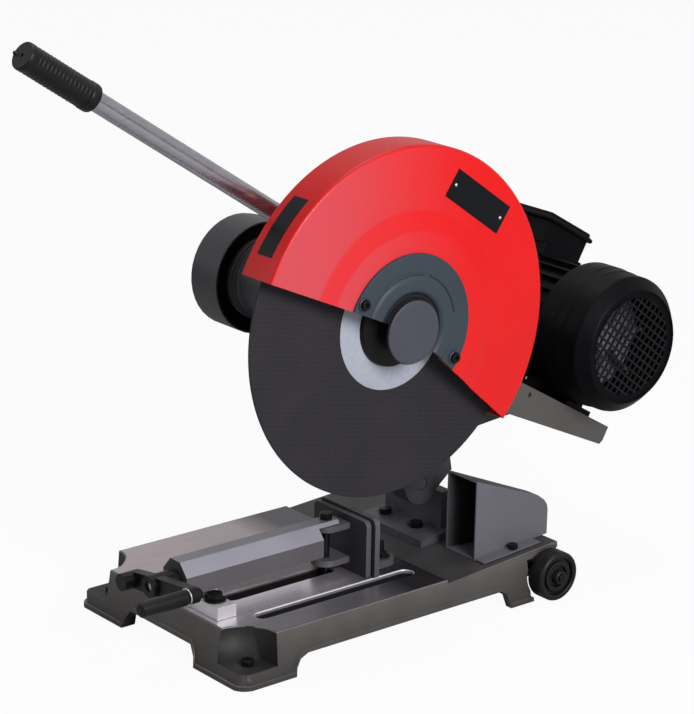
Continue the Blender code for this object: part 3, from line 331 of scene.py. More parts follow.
def bonded_abrasive():
    """Dark resin and grit with the weave of the glass reinforcement showing through."""
    finish = Finish("bonded_abrasive", 0.80, 0.0, 0.0, 0.2)
    base = paint(42, 40, 44)
    weave_scale = 2 * pi / 0.0052

    def threads(axis):
        wave = finish.nodes.new("ShaderNodeTexWave")
        wave.bands_direction = axis
        wave.inputs["Scale"].default_value = weave_scale / 20
        wave.inputs["Distortion"].default_value = 0.6
        wave.inputs["Detail"].default_value = 2.0
        wave.inputs["Detail Scale"].default_value = 1.5
        finish.links.new(finish.stretched((1, 1, 1), (radians(12), 0, 0)), wave.inputs["Vector"])
        return wave.outputs["Fac"]

    weave = finish.maths("MAXIMUM", threads("Y"), threads("Z"))
    line = finish.ramp(weave, [(0.72, BLACK), (0.98, WHITE)])
    grit = finish.noise(1500, 3)
    cloud = finish.noise(14, 5)
    tone = finish.ramp(cloud, [(0.3, shade(base, 0.82)), (0.7, shade(base, 1.15))])
    sparkle = finish.ramp(grit, [(0.62, BLACK), (0.72, WHITE)])
    rough = finish.mixed(sparkle, tone, shade(base, 2.2))
    finish.colour(finish.mixed(finish.maths("MULTIPLY", line, 0.35), rough, shade(base, 1.7)))
    finish.relief(finish.maths("ADD", grit, weave), 0.00025, 0.9)
    return finish.material


def sooty_inside(front):
    """The spark box's inside, with painted shade: black in its depth and grey towards its open front."""
    finish = Finish("sooty_inside", 0.75, 0.0, 0.0, 0.15)
    wander = finish.maths("MULTIPLY", finish.noise(30, 5), 0.008)
    depth = finish.maths("SUBTRACT", finish.maths("ADD", finish.axes()["Y"], wander), front)
    finish.colour(finish.ramp(finish.maths("MULTIPLY", depth, 10.0),
                              [(0.04, paint(66, 64, 69)), (0.14, paint(26, 25, 28)),
                               (0.32, paint(11, 10, 12))]))
    finish.relief(finish.noise(260, 3), 0.00012)
    return finish.material


def label_paper():
    finish = Finish("bare_label_paper", 0.8)
    base = paint(170, 174, 188)
    fibre = finish.noise(240, 6)
    finish.colour(finish.ramp(fibre, [(0.3, shade(base, 0.90)), (0.7, shade(base, 1.03))]))
    finish.relief(fibre, 0.00005)
    return finish.material


RED = guard_enamel()
COVER_GREY = enamel("blue_grey_cover_enamel", paint(52, 61, 70), 0.44, mottling=0.10, sheen=0.3)
BOSS_GREY = enamel("grey_boss_enamel", paint(68, 69, 78), 0.44, mottling=0.10, sheen=0.3)
GROOVE_SHADE = enamel("grime_in_corners", paint(24, 25, 28), 0.6, mottling=0.2, sheen=0.2)
BASE_PAINT = hammered_casting("bronze_grey_base_paint", paint(88, 85, 83), shaded=True)
BASE_EDGE_WEAR_AND_HIGHLIGHT = hammered_casting("rubbed_base_edges", paint(112, 109, 108), 0.40)
POCKET_SHADE_PAINT = hammered_casting("dark_pocket_paint", paint(32, 31, 31), 0.55)
DECK_PAINT = hammered_casting("dark_deck_paint", paint(62, 60, 62))
DARK_CASTING = hammered_casting("dark_grey_casting_paint", paint(58, 57, 62), 0.42)
# A lighter copy of the dark casting paint: painted light for the bracket, which sits in the guard's shadow.
BRACKET_LIGHTENED_PAINT = hammered_casting("grey_bracket_paint", paint(82, 80, 86), 0.42)
RAM_PAINT = enamel("grey_vice_paint", paint(104, 102, 109), 0.34, mottling=0.12, grain=180, sheen=0.45)
JAW_PAINT = enamel("grey_jaw_paint", paint(84, 82, 86), 0.40, mottling=0.12, grain=180, sheen=0.35)
JAW_FACE_SHADE = enamel("dark_jaw_face", paint(44, 43, 47), 0.46, mottling=0.12, grain=180, sheen=0.25)
TABLE_TOP = machined_table()
SHADED_SLOT_WALL = slot_wall()
TUBE_STEEL = bright_steel("drawn_tube_steel", (200, 30, 200), 0.26, (170, 168, 176))
TURNED_STEEL = bright_steel("turned_steel", (500, 40, 500), 0.30)
BLOCK_STEEL = bright_steel("milled_steel", (40, 700, 40), 0.50, (222, 219, 223))
BLACK_STEEL = black_oxide()
MOTOR_BLACK = enamel("black_motor_enamel", paint(3, 4, 6), 0.46, mottling=0.2, sheen=0.08)
GRILLE_BLACK = enamel("black_grille_enamel", paint(16, 17, 20), 0.42, mottling=0.2, sheen=0.15)
FAN_GREY = enamel("grey_fan_moulding", paint(128, 128, 136), 0.5, mottling=0.1, sheen=0.3)
SHEET_GREY = enamel("grey_sheet_paint", paint(98, 96, 104), 0.40, mottling=0.10, sheen=0.4)
PLATE_GREY = enamel("bronze_grey_plate_paint", paint(80, 77, 75), 0.44, mottling=0.10, sheen=0.4)
ROOF_SHADE_GREY = enamel("dark_sheet_paint", paint(62, 60, 64), 0.44, mottling=0.10, sheen=0.3)
RAM_SIDE_REFLECTION = enamel("brown_grey_vice_paint", paint(86, 82, 87), 0.38, mottling=0.10, grain=180, sheen=0.4)
RAM_BEVEL_HIGHLIGHT = enamel("pale_vice_paint", paint(140, 139, 150), 0.34, mottling=0.10, grain=180, sheen=0.45)
GUIDE_SLOT_SHADE = enamel("sooty_sheet", paint(16, 15, 17), 0.8, mottling=0.3, sheen=0.1)
SPARK_BOX_SHADE = sooty_inside(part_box("spark_box")[0].y)
PATCH_BLACK = enamel("blank_black_vinyl", paint(14, 16, 20), 0.35, peel=0.00003, mottling=0.06, sheen=0.15)
RUBBER = moulded_rubber("black_rubber")
GRIP_RUBBER = moulded_rubber("black_grip_rubber", (8, 8, 10), 0.40, 0.25)
WHEEL_PLASTIC = moulded_rubber("black_wheel_nylon", (15, 15, 17), 0.42, 0.25)
ABRASIVE = bonded_abrasive()
PAPER = label_paper()

SLOT_FINISH = {
    "base_paint": BASE_PAINT, "dark_casting": DARK_CASTING, "bright_steel": TURNED_STEEL,
    "black_steel": BLACK_STEEL, "grey_sheet": SHEET_GREY, "motor_enamel": MOTOR_BLACK,
    "black_plastic": GRILLE_BLACK, "black_rubber": RUBBER, "red_enamel": RED,
    "cover_enamel": COVER_GREY, "bonded_abrasive": ABRASIVE,
}


def clear_selection():
    if bpy.context.object and bpy.context.object.mode != "OBJECT":
        bpy.ops.object.mode_set(mode="OBJECT")
    bpy.ops.object.select_all(action="DESELECT")


def only(piece):
    clear_selection()
    piece.select_set(True)
    bpy.context.view_layer.objects.active = piece


def draw(name, points):
    """Start a piece as one corner, then extrude it from point to point in edit mode."""
    clear_selection()
    bpy.ops.mesh.primitive_plane_add(size=0.001)
    piece = bpy.context.object
    piece.name = name
    piece.data.name = name
    bpy.ops.object.mode_set(mode="EDIT")
    bpy.ops.mesh.select_all(action="SELECT")
    bpy.ops.mesh.merge(type="CENTER")
    bpy.ops.transform.translate(value=points[0])
    for start, end in zip(points, points[1:]):
        bpy.ops.mesh.extrude_vertices_move(TRANSFORM_OT_translate={"value": Vector(end) - Vector(start)})
    bpy.ops.mesh.select_all(action="SELECT")
    return piece


def tidy_shell():
    bpy.ops.mesh.select_all(action="SELECT")
    bpy.ops.mesh.remove_doubles(threshold=1e-6)
    bpy.ops.mesh.normals_make_consistent(inside=False)
    bpy.ops.object.mode_set(mode="OBJECT")


def smooth(piece, angle=35):
    only(piece)
    bpy.ops.object.shade_smooth_by_angle(angle=radians(angle))


def settle(piece, body, finish, nodes=()):
    """Fix a finished piece to its body, its finish and the nodes that it stands for."""
    only(piece)
    bpy.ops.object.transform_apply(location=True, rotation=True, scale=True)
    piece.data.materials.clear()
    piece.data.materials.append(finish)
    if nodes:
        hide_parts(*nodes)
    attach(piece, body)
    return piece


def side_of(direction):
    direction = Vector(direction).normalized()
    if abs(direction.x) > 0.9:
        return Vector((0, 1, 0))
    return X_AXIS


def turn(name, origin, direction, profile, steps=96, closed=True, start=0.0, sweep=360.0, angle=35):
    """Spin a profile of (radius, distance along) points about an axis."""
    direction = Vector(direction).normalized()
    radial = Matrix.Rotation(radians(start), 3, direction) @ side_of(direction)
    points = [Vector(origin) + direction * along + radial * radius for radius, along in profile]
    piece = draw(name, points)
    if closed:
        bpy.ops.mesh.edge_face_add()
        bpy.ops.mesh.delete(type="ONLY_FACE")
        bpy.ops.mesh.select_all(action="SELECT")
    bpy.ops.mesh.spin(steps=steps, angle=-radians(sweep), center=origin, axis=direction)
    bpy.ops.mesh.select_all(action="SELECT")
    bpy.ops.mesh.remove_doubles(threshold=1e-6)
    if sweep < 360:
        bpy.ops.mesh.fill_holes(sides=0)
    tidy_shell()
    smooth(piece, angle)
    return piece


def round_edges(piece, width, segments=2, angle=30, weighted=False):
    only(piece)
    bevel = piece.modifiers.new("rounded_edges", "BEVEL")
    bevel.width = width
    bevel.segments = segments
    bevel.limit_method = "WEIGHT" if weighted else "ANGLE"
    bevel.angle_limit = radians(angle)
    bevel.use_clamp_overlap = not weighted
    bpy.ops.object.modifier_apply(modifier=bevel.name)
    smooth(piece)
    even = piece.modifiers.new("even_shading", "WEIGHTED_NORMAL")
    even.keep_sharp = True
    bpy.ops.object.modifier_apply(modifier=even.name)


def prism(name, points, depth):
    """A flat outline pushed through by a vector."""
    piece = draw(name, points)
    bpy.ops.mesh.edge_face_add()
    bpy.ops.mesh.extrude_region_move(TRANSFORM_OT_translate={"value": depth})
    tidy_shell()
    return piece


def copied(node, name=None):
    """A merged copy of a CAD node, with its flat areas made whole again."""
    source = NODES[node]
    piece = source.copy()
    piece.data = source.data.copy()
    piece.name = name or f"{node}_finished"
    piece.parent = None
    piece.matrix_world = Matrix.Identity(4)
    bpy.context.scene.collection.objects.link(piece)
    only(piece)
    bpy.ops.object.mode_set(mode="EDIT")
    bpy.ops.mesh.select_all(action="SELECT")
    bpy.ops.mesh.remove_doubles(threshold=1e-6)
    bpy.ops.mesh.dissolve_limited(angle_limit=radians(1.0))
    bpy.ops.object.mode_set(mode="OBJECT")
    return piece


def softened(node, width, finish=None, segments=2, angle=30):
    piece = copied(node)
    round_edges(piece, width, segments, angle)
    return settle(piece, BODY_OF[node], finish or SLOT_FINISH[SLOT_OF[node]], [node])


def arc(centre, radius, first, last, count):
    """Points of a round stretch as (across, up), angles in degrees."""
    angles = [radians(first + (last - first) * step / count) for step in range(count + 1)]
    return [(centre[0] + radius * cos(angle), centre[1] + radius * sin(angle)) for angle in angles]


def wheel_guard():
    low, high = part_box("wheel_guard")
    rim = 0.2075
    back = low.x
    raised = high.x
    face = raised - GUARD_STEP
    sheet = 0.002
    corner = 0.0045
    outer = [(0.062, raised), (0.112, raised), (0.116, raised - 0.0004), (0.133, face + 0.0003),
             (0.137, face)]
    outer += arc((rim - corner, face - corner), corner, 90, 0, 6)
    outer += [(rim, back + 0.0012), (rim - 0.0012, back), (0.0560, back)]
    inner = [(0.0560, back + sheet), (rim - sheet, back + sheet), (rim - sheet, face - corner)]
    inner += [(rim - corner, face - sheet), (0.137, face - sheet), (0.115, raised - sheet),
              (0.062, raised - sheet)]
    guard = turn("wheel_guard_shell", SPINDLE, X_AXIS, outer + inner, 150, True, GUARD_START, GUARD_SWEEP)
    settle(guard, "arm", RED, ["wheel_guard"])


def darken(piece, chosen):
    """Painted shade on the chosen faces."""
    piece.data.materials.append(GROOVE_SHADE)
    for face in piece.data.polygons:
        if chosen(face):
            face.material_index = len(piece.data.materials) - 1


def spindle_cover():
    low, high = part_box("spindle_cover")
    seat = low.x
    flat = 0.1363
    crown = 0.1402
    plate = [(0.0340, seat), (0.0340, 0.1399), (0.0374, 0.1399), (0.0384, 0.1372), (0.0392, 0.1356),
             (0.0402, 0.1352), (0.0424, 0.1352), (0.0436, 0.1362), (0.0450, 0.1386), (0.0475, 0.1398),
             (0.0520, crown), (0.0585, crown - 0.0006), (0.0618, crown - 0.0016), (0.0634, crown - 0.0030),
             (0.0640, flat), (0.0862, flat), (0.0875, flat - 0.0005), (0.0880, flat - 0.0018),
             (0.0880, seat)]
    piece = turn("spindle_cover_plate", SPINDLE, X_AXIS, plate, 110, True, GUARD_START, GUARD_SWEEP)
    settle(piece, "arm", COVER_GREY, ["spindle_cover"])
    # Painted shade in the groove round the boss.
    darken(piece, lambda face: (face.center - SPINDLE).yz.length < 0.0430 and face.center.x > seat + 0.0005)
    tip = high.x
    boss = [(0.0, tip - 0.0006), (0.0250, tip - 0.0004), (0.0335, tip)]
    boss += arc((0.0345, tip - 0.0022), 0.0022, 90, 0, 4)
    boss += [(0.0372, 0.1400), (0.0340, 0.1400), (0.0340, tip - 0.003), (0.0, tip - 0.003)]
    cap = turn("spindle_cover_boss", SPINDLE, X_AXIS, boss, 96, False)
    settle(cap, "arm", BOSS_GREY)
    # Painted shade on the boss's side wall.
    darken(cap, lambda face: face.normal.x < 0.3)
    rib = [(0.0648, flat - 0.0002), (0.0650, flat + 0.0010), (0.0656, flat + 0.0014), (0.0664, flat + 0.0010),
           (0.0666, flat - 0.0002)]
    for name, start, sweep in (("upper", 75, 48), ("right", 10, 55)):
        bead = turn(f"cover_bead_{name}", SPINDLE, X_AXIS, rib, 40, True, start, sweep)
        settle(bead, "arm", COVER_GREY)
    for index, angle in enumerate((148.0, 327.5)):
        out = Vector((0, cos(radians(angle)), sin(radians(angle)))) * 0.079
        collar = [(0.0061, flat - 0.0002), (0.0061, flat + 0.0016), (0.0068, flat + 0.0022),
                  (0.0077, flat + 0.0016), (0.0080, flat - 0.0002)]
        boss_ring = turn(f"cover_screw_collar_{index + 1}", SPINDLE + out, X_AXIS, collar, 40)
        settle(boss_ring, "arm", COVER_GREY)


def cutting_disc():
    low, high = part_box("cutting_disc")
    profile = [(0.016, high.x), (0.1992, high.x), (0.2000, high.x - 0.0006), (0.2000, low.x + 0.0006),
               (0.1992, low.x), (0.016, low.x)]
    disc = turn("cutting_disc_body", SPINDLE, X_AXIS, profile, 160)
    settle(disc, "spindle", ABRASIVE, ["cutting_disc"])
    face = high.x
    ring = [(0.0475, face + 0.00035), (0.0746, face + 0.00035), (0.0750, face + 0.0001),
            (0.0750, face - 0.0002), (0.0475, face - 0.0002)]
    label = turn("disc_paper_ring", SPINDLE, X_AXIS, ring, 120)
    settle(label, "spindle", PAPER)
    for node in ("outer_flange", "inner_flange"):
        low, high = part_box(node)
        if node == "outer_flange":
            shape = [(0.0128, high.x), (0.0290, high.x), (0.0310, high.x - 0.0006),
                     (0.0462, low.x + 0.0058), (0.0470, low.x + 0.0045), (0.0470, low.x), (0.0128, low.x)]
        else:
            shape = [(0.0128, high.x), (0.0470, high.x), (0.0470, low.x + 0.0095), (0.0462, low.x + 0.0085),
                     (0.0310, low.x + 0.0006), (0.0290, low.x), (0.0128, low.x)]
        flange = turn(f"{node}_turned", SPINDLE, X_AXIS, shape, 96)
        settle(flange, "spindle", BLACK_STEEL, [node])


def fan_cowl():
    low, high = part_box("fan_cowl")
    near, tip = low.x, high.x
    rim = 0.0610
    shell = [(0.0600, tip - 0.0020), (0.0660, tip - 0.0018), (0.0678, tip - 0.0016), (0.0684, tip - 0.0002),
             (0.0698, tip), (0.0708, tip - 0.0006), (0.0718, tip - 0.0018), (0.0820, tip - 0.0132),
             (0.0836, tip - 0.0152), (0.0840, tip - 0.0172)]
    shell += [(0.0840, 0.0925), (0.0844, 0.0915), (0.0850, 0.0905), (0.0852, 0.0890), (0.0852, 0.0770),
              (0.0856, 0.0755), (0.0862, 0.0745), (0.0864, 0.0730), (0.0864, near), (0.0825, near),
              (0.0825, tip - 0.019), (0.0795, tip - 0.0140), (0.0700, tip - 0.0045),
              (0.0600, tip - 0.0036)]
    cowl = turn("fan_cowl_shell", MOTOR, X_AXIS, shell, 128)
    settle(cowl, "arm", MOTOR_BLACK, ["fan_cowl"])
    clear_selection()
    pitch = 0.0092
    count = 15
    bpy.ops.mesh.primitive_grid_add(x_subdivisions=count, y_subdivisions=count, size=pitch * count)
    lattice = bpy.context.object
    lattice.name = "fan_cowl_lattice"
    bpy.ops.object.mode_set(mode="EDIT")
    bpy.ops.mesh.select_all(action="SELECT")
    bpy.ops.mesh.inset(thickness=pitch * 0.13, use_individual=True)
    bpy.ops.mesh.delete(type="FACE")
    bpy.ops.mesh.select_all(action="SELECT")
    bpy.ops.object.mode_set(mode="OBJECT")
    lattice.data.transform(Matrix.Rotation(radians(45 + 8), 4, "Z"))
    lattice.data.transform(Matrix.Rotation(radians(90), 4, "Y"))
    lattice.data.transform(Matrix.Translation(MOTOR + Vector((tip - 0.0022, 0, 0))))
    only(lattice)
    for vertex in lattice.data.vertices:
        vertex.select = False
    bpy.ops.object.mode_set(mode="EDIT")
    for step in range(48):
        angle = 2 * pi * step / 48
        outward = Vector((0, cos(angle), sin(angle)))
        bpy.ops.mesh.select_all(action="SELECT")
        bpy.ops.mesh.bisect(plane_co=MOTOR + outward * (rim - 0.0008), plane_no=outward, clear_outer=True)
    bpy.ops.mesh.select_all(action="SELECT")
    bpy.ops.mesh.remove_doubles(threshold=1e-5)
    bpy.ops.object.mode_set(mode="OBJECT")
    wires = lattice.modifiers.new("thickness", "SOLIDIFY")
    wires.thickness = 0.0018
    wires.offset = 0.0
    bpy.ops.object.modifier_apply(modifier=wires.name)
    smooth(lattice, 30)
    settle(lattice, "arm", GRILLE_BLACK)


def handle():
    tilt = radians(33)
    up = Vector((0, -cos(tilt), sin(tilt)))
    low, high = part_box("handle_grip")
    middle = (low + high) / 2
    length = 0.099
    start = middle - up * (length / 2)
    foot_low, foot_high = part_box("handle_tube")
    tube_length = 0.5345
    foot = (foot_low + foot_high) / 2 - up * (tube_length / 2)
    drawn = [(0.0, 0.0), (0.0105, 0.0), (0.0110, 0.0006), (0.0110, tube_length - 0.012),
             (0.0, tube_length - 0.012)]
    tube = turn("handle_tube_drawn", foot, up, drawn, 64, False)
    settle(tube, "arm", TUBE_STEEL, ["handle_tube"])
    profile = [(0.0113, 0.0), (0.0142, 0.0), (0.0156, 0.0010), (0.0160, 0.0026), (0.0160, 0.0105),
               (0.0156, 0.0118), (0.0150, 0.0124)]
    ridge = 0.0054
    first = 0.0128
    for step in range(14):
        low_end = first + step * ridge
        profile += [(0.0150, low_end), (0.0154, low_end + 0.0012), (0.0156, low_end + 0.0022),
                    (0.0154, low_end + 0.0034), (0.0150, low_end + 0.0046)]
    profile += [(0.0152, 0.0890), (0.0155, 0.0905), (0.0156, 0.0965), (0.0152, 0.0982), (0.0144, 0.0990),
                (0.0022, 0.0990), (0.0018, 0.0972), (0.0, 0.0970), (0.0, 0.0935), (0.0113, 0.0935)]
    grip = turn("handle_grip_moulded", start, up, profile, 64)
    settle(grip, "arm", GRIP_RUBBER, ["handle_grip"])
    gate = start + up * (length - 0.0005) - X_AXIS * 0.0118
    nub = turn("handle_grip_nub", gate, up,
               [(0.0, 0.0), (0.0030, 0.0), (0.0022, 0.0022), (0.0012, 0.0034), (0.0, 0.0037)], 24, False)
    settle(nub, "arm", GRIP_RUBBER)


def transport_wheels():
    for node in ("wheel_right", "wheel_left"):
        low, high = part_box(node)
        middle = (low + high) / 2
        outward = X_AXIS if middle.x > 0 else -X_AXIS
        hub = Vector((0, middle.y, middle.z)) + outward * 0.150
        edge = 0.024
        profile = [(0.0053, edge + 0.0040), (0.0068, edge + 0.0040), (0.0080, edge + 0.0030),
                   (0.0094, edge - 0.0040), (0.0130, edge - 0.0052), (0.0136, edge - 0.0022),
                   (0.0148, edge - 0.0016), (0.0176, edge - 0.0016), (0.0186, edge - 0.0022),
                   (0.0192, edge - 0.0050), (0.0226, edge - 0.0050), (0.0232, edge - 0.0014),
                   (0.0246, edge - 0.0004), (0.0270, edge)]
        profile += arc((0.0262, edge - 0.0038), 0.0038, 70, 0, 5)
        profile += arc((0.0262, 0.0038), 0.0038, 0, -90, 5)
        profile += [(0.0053, 0.0)]
        wheel = turn(f"{node}_moulded", hub, outward, profile, 72)
        settle(wheel, BODY_OF[node], WHEEL_PLASTIC, [node])


def name_plate():
    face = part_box("wheel_guard")[1].x - GUARD_STEP
    centre = Vector((face, SPINDLE.y + 0.1020, SPINDLE.z + 0.1314))
    slope = radians(-35.0)
    along = Vector((0, cos(slope), sin(slope)))
    across = Vector((0, -sin(slope), cos(slope)))
    half, tall = 0.0480, 0.0172
    corners = [centre + along * a + across * b
               for a, b in ((-half, -tall), (half, -tall), (half, tall), (-half, tall))]
    plate = prism("blank_plate", [corner - X_AXIS * 0.0002 for corner in corners], X_AXIS * 0.0012)
    round_edges(plate, 0.0004, 2)
    settle(plate, "arm", PATCH_BLACK)
    vinyl = [(0.2073, 0.0895), (0.2073, 0.1137), (0.2078, 0.1137), (0.2078, 0.0895)]
    patch = turn("blank_band_patch", SPINDLE, X_AXIS, vinyl, 40, True, 128.2, 20.8)
    settle(patch, "arm", PATCH_BLACK)
    for hand in (-1, 1):
        seat = centre + along * (hand * 0.0415) + X_AXIS * 0.0008
        head = [(0.0, 0.0014), (0.0012, 0.0012), (0.0020, 0.0006), (0.0022, 0.0), (0.0, 0.0)]
        rivet = turn(f"plate_rivet_{'left' if hand < 0 else 'right'}", seat, X_AXIS, head, 24, False)
        settle(rivet, "arm", TURNED_STEEL)


def edge_distance(place, across, half, near, far):
    """How far a place is outside a round-ended slot, given its line, half width and end centres."""
    along = min(max(place.y, near), far)
    return Vector((place.x - across, place.y - along)).length - half


def weigh_rims(piece, lowest):
    """Mark the sharp rims of the upper faces for rounding, apart from those in line with the axle lugs."""
    normals_at = {}
    for face in piece.data.polygons:
        for key in face.edge_keys:
            normals_at.setdefault(key, []).append(face.normal.copy())
    weights = piece.data.attributes.new("bevel_weight_edge", "FLOAT", "EDGE")
    for edge in piece.data.edges:
        normals = normals_at[edge.key]
        ends = [piece.data.vertices[corner].co for corner in edge.vertices]
        height = min(end.z for end in ends)
        sharp = len(normals) == 2 and normals[0].angle(normals[1]) > radians(30)
        upper = max(normal.z for normal in normals) > 0.5
        inside = all(AXLE_LUG_X[0] < abs(end.x) < AXLE_LUG_X[1] for end in ends)
        weights.data[edge.index].value = float(sharp and upper and height > lowest and not inside)


def base():
    piece = copied("base_casting")
    weigh_rims(piece, 0.047)
    round_edges(piece, 0.0014, 3, weighted=True)
    settle(piece, "base", BASE_PAINT, ["base_casting"])
    for finish in (TABLE_TOP, DECK_PAINT, BLOCK_STEEL, GUIDE_SLOT_SHADE, SHADED_SLOT_WALL, BASE_EDGE_WEAR_AND_HIGHLIGHT, POCKET_SHADE_PAINT):
        piece.data.materials.append(finish)
    table, deck, chamfer, guide_wall, cut_wall, rubbed_and_highlit, pocket_shade = range(1, 8)
    table_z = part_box("vice_nut_block")[0].z - 0.0003
    for face in piece.data.polygons:
        middle = face.center
        cutting, guide = (edge_distance(middle, *slot) for slot in (CUTTING_SLOT, GUIDE_SLOT))
        edge = min(abs(cutting), abs(guide))
        in_pocket = Vector((abs(middle.x) - POCKET_X, middle.y - POCKET_Y)).length < POCKET_REACH
        if edge < 0.0032 and middle.z > table_z - 0.0024 and 0.1 < face.normal.z < 0.97:
            # The guide slot's chamfer, in the ram's shadow, takes the dark deck paint as painted shade.
            face.material_index = chamfer if abs(cutting) < abs(guide) else deck
        elif edge < 0.0008 and 0.035 < middle.z < table_z - 0.001 and abs(face.normal.z) < 0.3:
            # The guide slot's walls are black as painted shade under the ram.
            face.material_index = cut_wall if abs(cutting) < abs(guide) else guide_wall
        elif face.normal.z > 0.985 and abs(middle.z - table_z) < 0.0005 and middle.y < TABLE_END_Y:
            face.material_index = table
        elif face.normal.z > 0.9 and middle.z > 0.050:
            face.material_index = deck
        # Painted shade: the insides of the front corner pockets are dark.
        elif in_pocket and 0.017 < middle.z < 0.055:
            face.material_index = pocket_shade
        # Upward-facing small rounded faces: partly rubbed wear, partly painted highlight along the rims.
        elif face.normal.z > 0.12 and face.area < 0.0012:
            face.material_index = rubbed_and_highlit


def vice_thread():
    low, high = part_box("vice_screw")
    pitch = 0.004
    start = low.y + 0.017
    count = int((high.y - 0.002 - start) / pitch)
    tooth = [(0.0062, 0.0), (0.0064, 0.0008), (0.0075, 0.0014), (0.0075, 0.0026), (0.0064, 0.0034),
             (0.0062, 0.0040)]
    centre = Vector((SCREW.x, 0, SCREW.z))
    thread = draw("vice_screw_thread",
                  [centre + Vector((radius, start + along, 0)) for radius, along in tooth])
    bpy.ops.object.mode_set(mode="OBJECT")
    thread.data.transform(Matrix.Translation(-centre))
    coil = thread.modifiers.new("helix", "SCREW")
    coil.axis = "Y"
    coil.angle = 2 * pi
    coil.screw_offset = pitch
    coil.iterations = count
    coil.steps = 28
    coil.render_steps = 28
    coil.use_merge_vertices = True
    coil.merge_threshold = 1e-5
    only(thread)
    bpy.ops.object.modifier_apply(modifier=coil.name)
    thread.data.transform(Matrix.Translation(centre))
    bpy.ops.object.mode_set(mode="EDIT")
    bpy.ops.mesh.select_all(action="SELECT")
    bpy.ops.mesh.remove_doubles(threshold=1e-6)
    bpy.ops.mesh.fill_holes(sides=0)
    tidy_shell()
    smooth(thread, 40)
    settle(thread, "screw", TURNED_STEEL, ["vice_screw"])
    core = [(0.0, 0.0), (0.0050, 0.0), (0.0055, 0.0005), (0.0055, start - low.y + 0.002),
            (0.0, start - low.y + 0.002)]
    stub = turn("vice_screw_stub", Vector((SCREW.x, low.y, SCREW.z)), -FRONT, core, 40, False)
    settle(stub, "screw", TURNED_STEEL)


def castings():
    for node, width, finish in (
        ("pivot_bracket", 0.0015, BRACKET_LIGHTENED_PAINT), ("swing_arm", 0.0020, None),
        ("vice_nut_block", 0.0008, BLOCK_STEEL), ("motor_plate", 0.0010, PLATE_GREY),
        ("belt_cover", 0.0030, None), ("cooling_fan", 0.0004, FAN_GREY), ("belt_cover_back", 0.0006, None),
        ("motor_frame", 0.0006, None), ("terminal_box", 0.0012, None), ("terminal_box_lid", 0.0022, None),
        ("vice_crank", 0.0016, None), ("front_bearing_cap", 0.0010, None),
        ("rear_bearing_cap", 0.0010, None), ("drive_end_shield", 0.0010, None),
        ("fan_end_shield", 0.0010, None), ("crank_grip", 0.0008, GRIP_RUBBER),
        ("crank_washer", 0.0003, None), ("cable_gland", 0.0006, None), ("wheel_axle", 0.0008, BLACK_STEEL),
        ("pivot_pin", 0.0008, DARK_CASTING), ("jaw_pin", 0.0008, None), ("foot_bolt_left", 0.0007, None),
        ("foot_bolt_right", 0.0007, None), ("nut_block_bolt", 0.0007, None), ("fence_bolt_1", 0.0007, None),
        ("fence_bolt_2", 0.0007, None), ("bracket_bolt_1", 0.0007, None), ("bracket_bolt_2", 0.0007, None),
        ("spark_box_bolt", 0.0006, None), ("motor_bolt_1", 0.0006, None), ("motor_bolt_2", 0.0006, None),
        ("cover_screw_1", 0.0004, None), ("cover_screw_2", 0.0004, None), ("crank_grip_bolt", 0.0006, None),
        ("spindle_nut", 0.0006, None),
    ):
        softened(node, width, finish)


def toned(node, width, finishes, choose):
    """A softened piece in several finishes, with the finish of each face chosen by number."""
    piece = softened(node, width, finishes[0])
    for finish in finishes[1:]:
        piece.data.materials.append(finish)
    for face in piece.data.polygons:
        face.material_index = choose(face)


def sheet_and_ram():
    low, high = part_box("spark_box")
    middle = Vector(((low.x + SPARK_WALL_X) / 2, (low.y + high.y) / 2, 0.095))

    def sheet(face):
        inward = (middle - face.center).dot(face.normal) > 0
        # Inner walls take the spark box's painted shade.
        if inward and face.center.x < SPARK_WALL_X - 0.001 and abs(face.normal.y) < 0.9:
            return 0 if face.normal.z > 0.7 and face.center.z < 0.08 else 1
        # The roof takes a darker copy of the sheet paint as painted shade.
        return 2 if face.normal.z > 0.7 and face.center.z > 0.10 else 0

    toned("spark_box", 0.0006, [SHEET_GREY, SPARK_BOX_SHADE, ROOF_SHADE_GREY], sheet)
    low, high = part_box("vice_ram")
    front = low.y

    def trough(face):
        # The front face takes the dark casting paint as painted shade, and the rear tongue is darker too; the
        # bevel facets take a paler paint as painted highlight, the upright sides a brownish paint as painted
        # reflection of the table.
        if face.center.y < front + 0.0008 or (face.center.y > front + 0.196 and face.normal.z < 0.9):
            return 1
        if abs(face.normal.x) > 0.9:
            return 3
        return 2 if 0.3 < face.normal.z < 0.8 and abs(face.normal.x) > 0.5 else 0

    toned("vice_ram", 0.0014, [RAM_PAINT, DARK_CASTING, RAM_BEVEL_HIGHLIGHT, RAM_SIDE_REFLECTION], trough)
    for node in ("vice_jaw", "fixed_fence"):
        # The large front faces of the jaw and fence take a darker copy of the jaw paint as painted shade.
        toned(node, 0.0012, [JAW_PAINT, JAW_FACE_SHADE],
              lambda face: int(face.normal.y < -0.95 and face.area > 0.0004))


def remaining_nodes():
    for name, node in NODES.items():
        node.data.materials.clear()
        node.data.materials.append(SLOT_FINISH[SLOT_OF[name]])


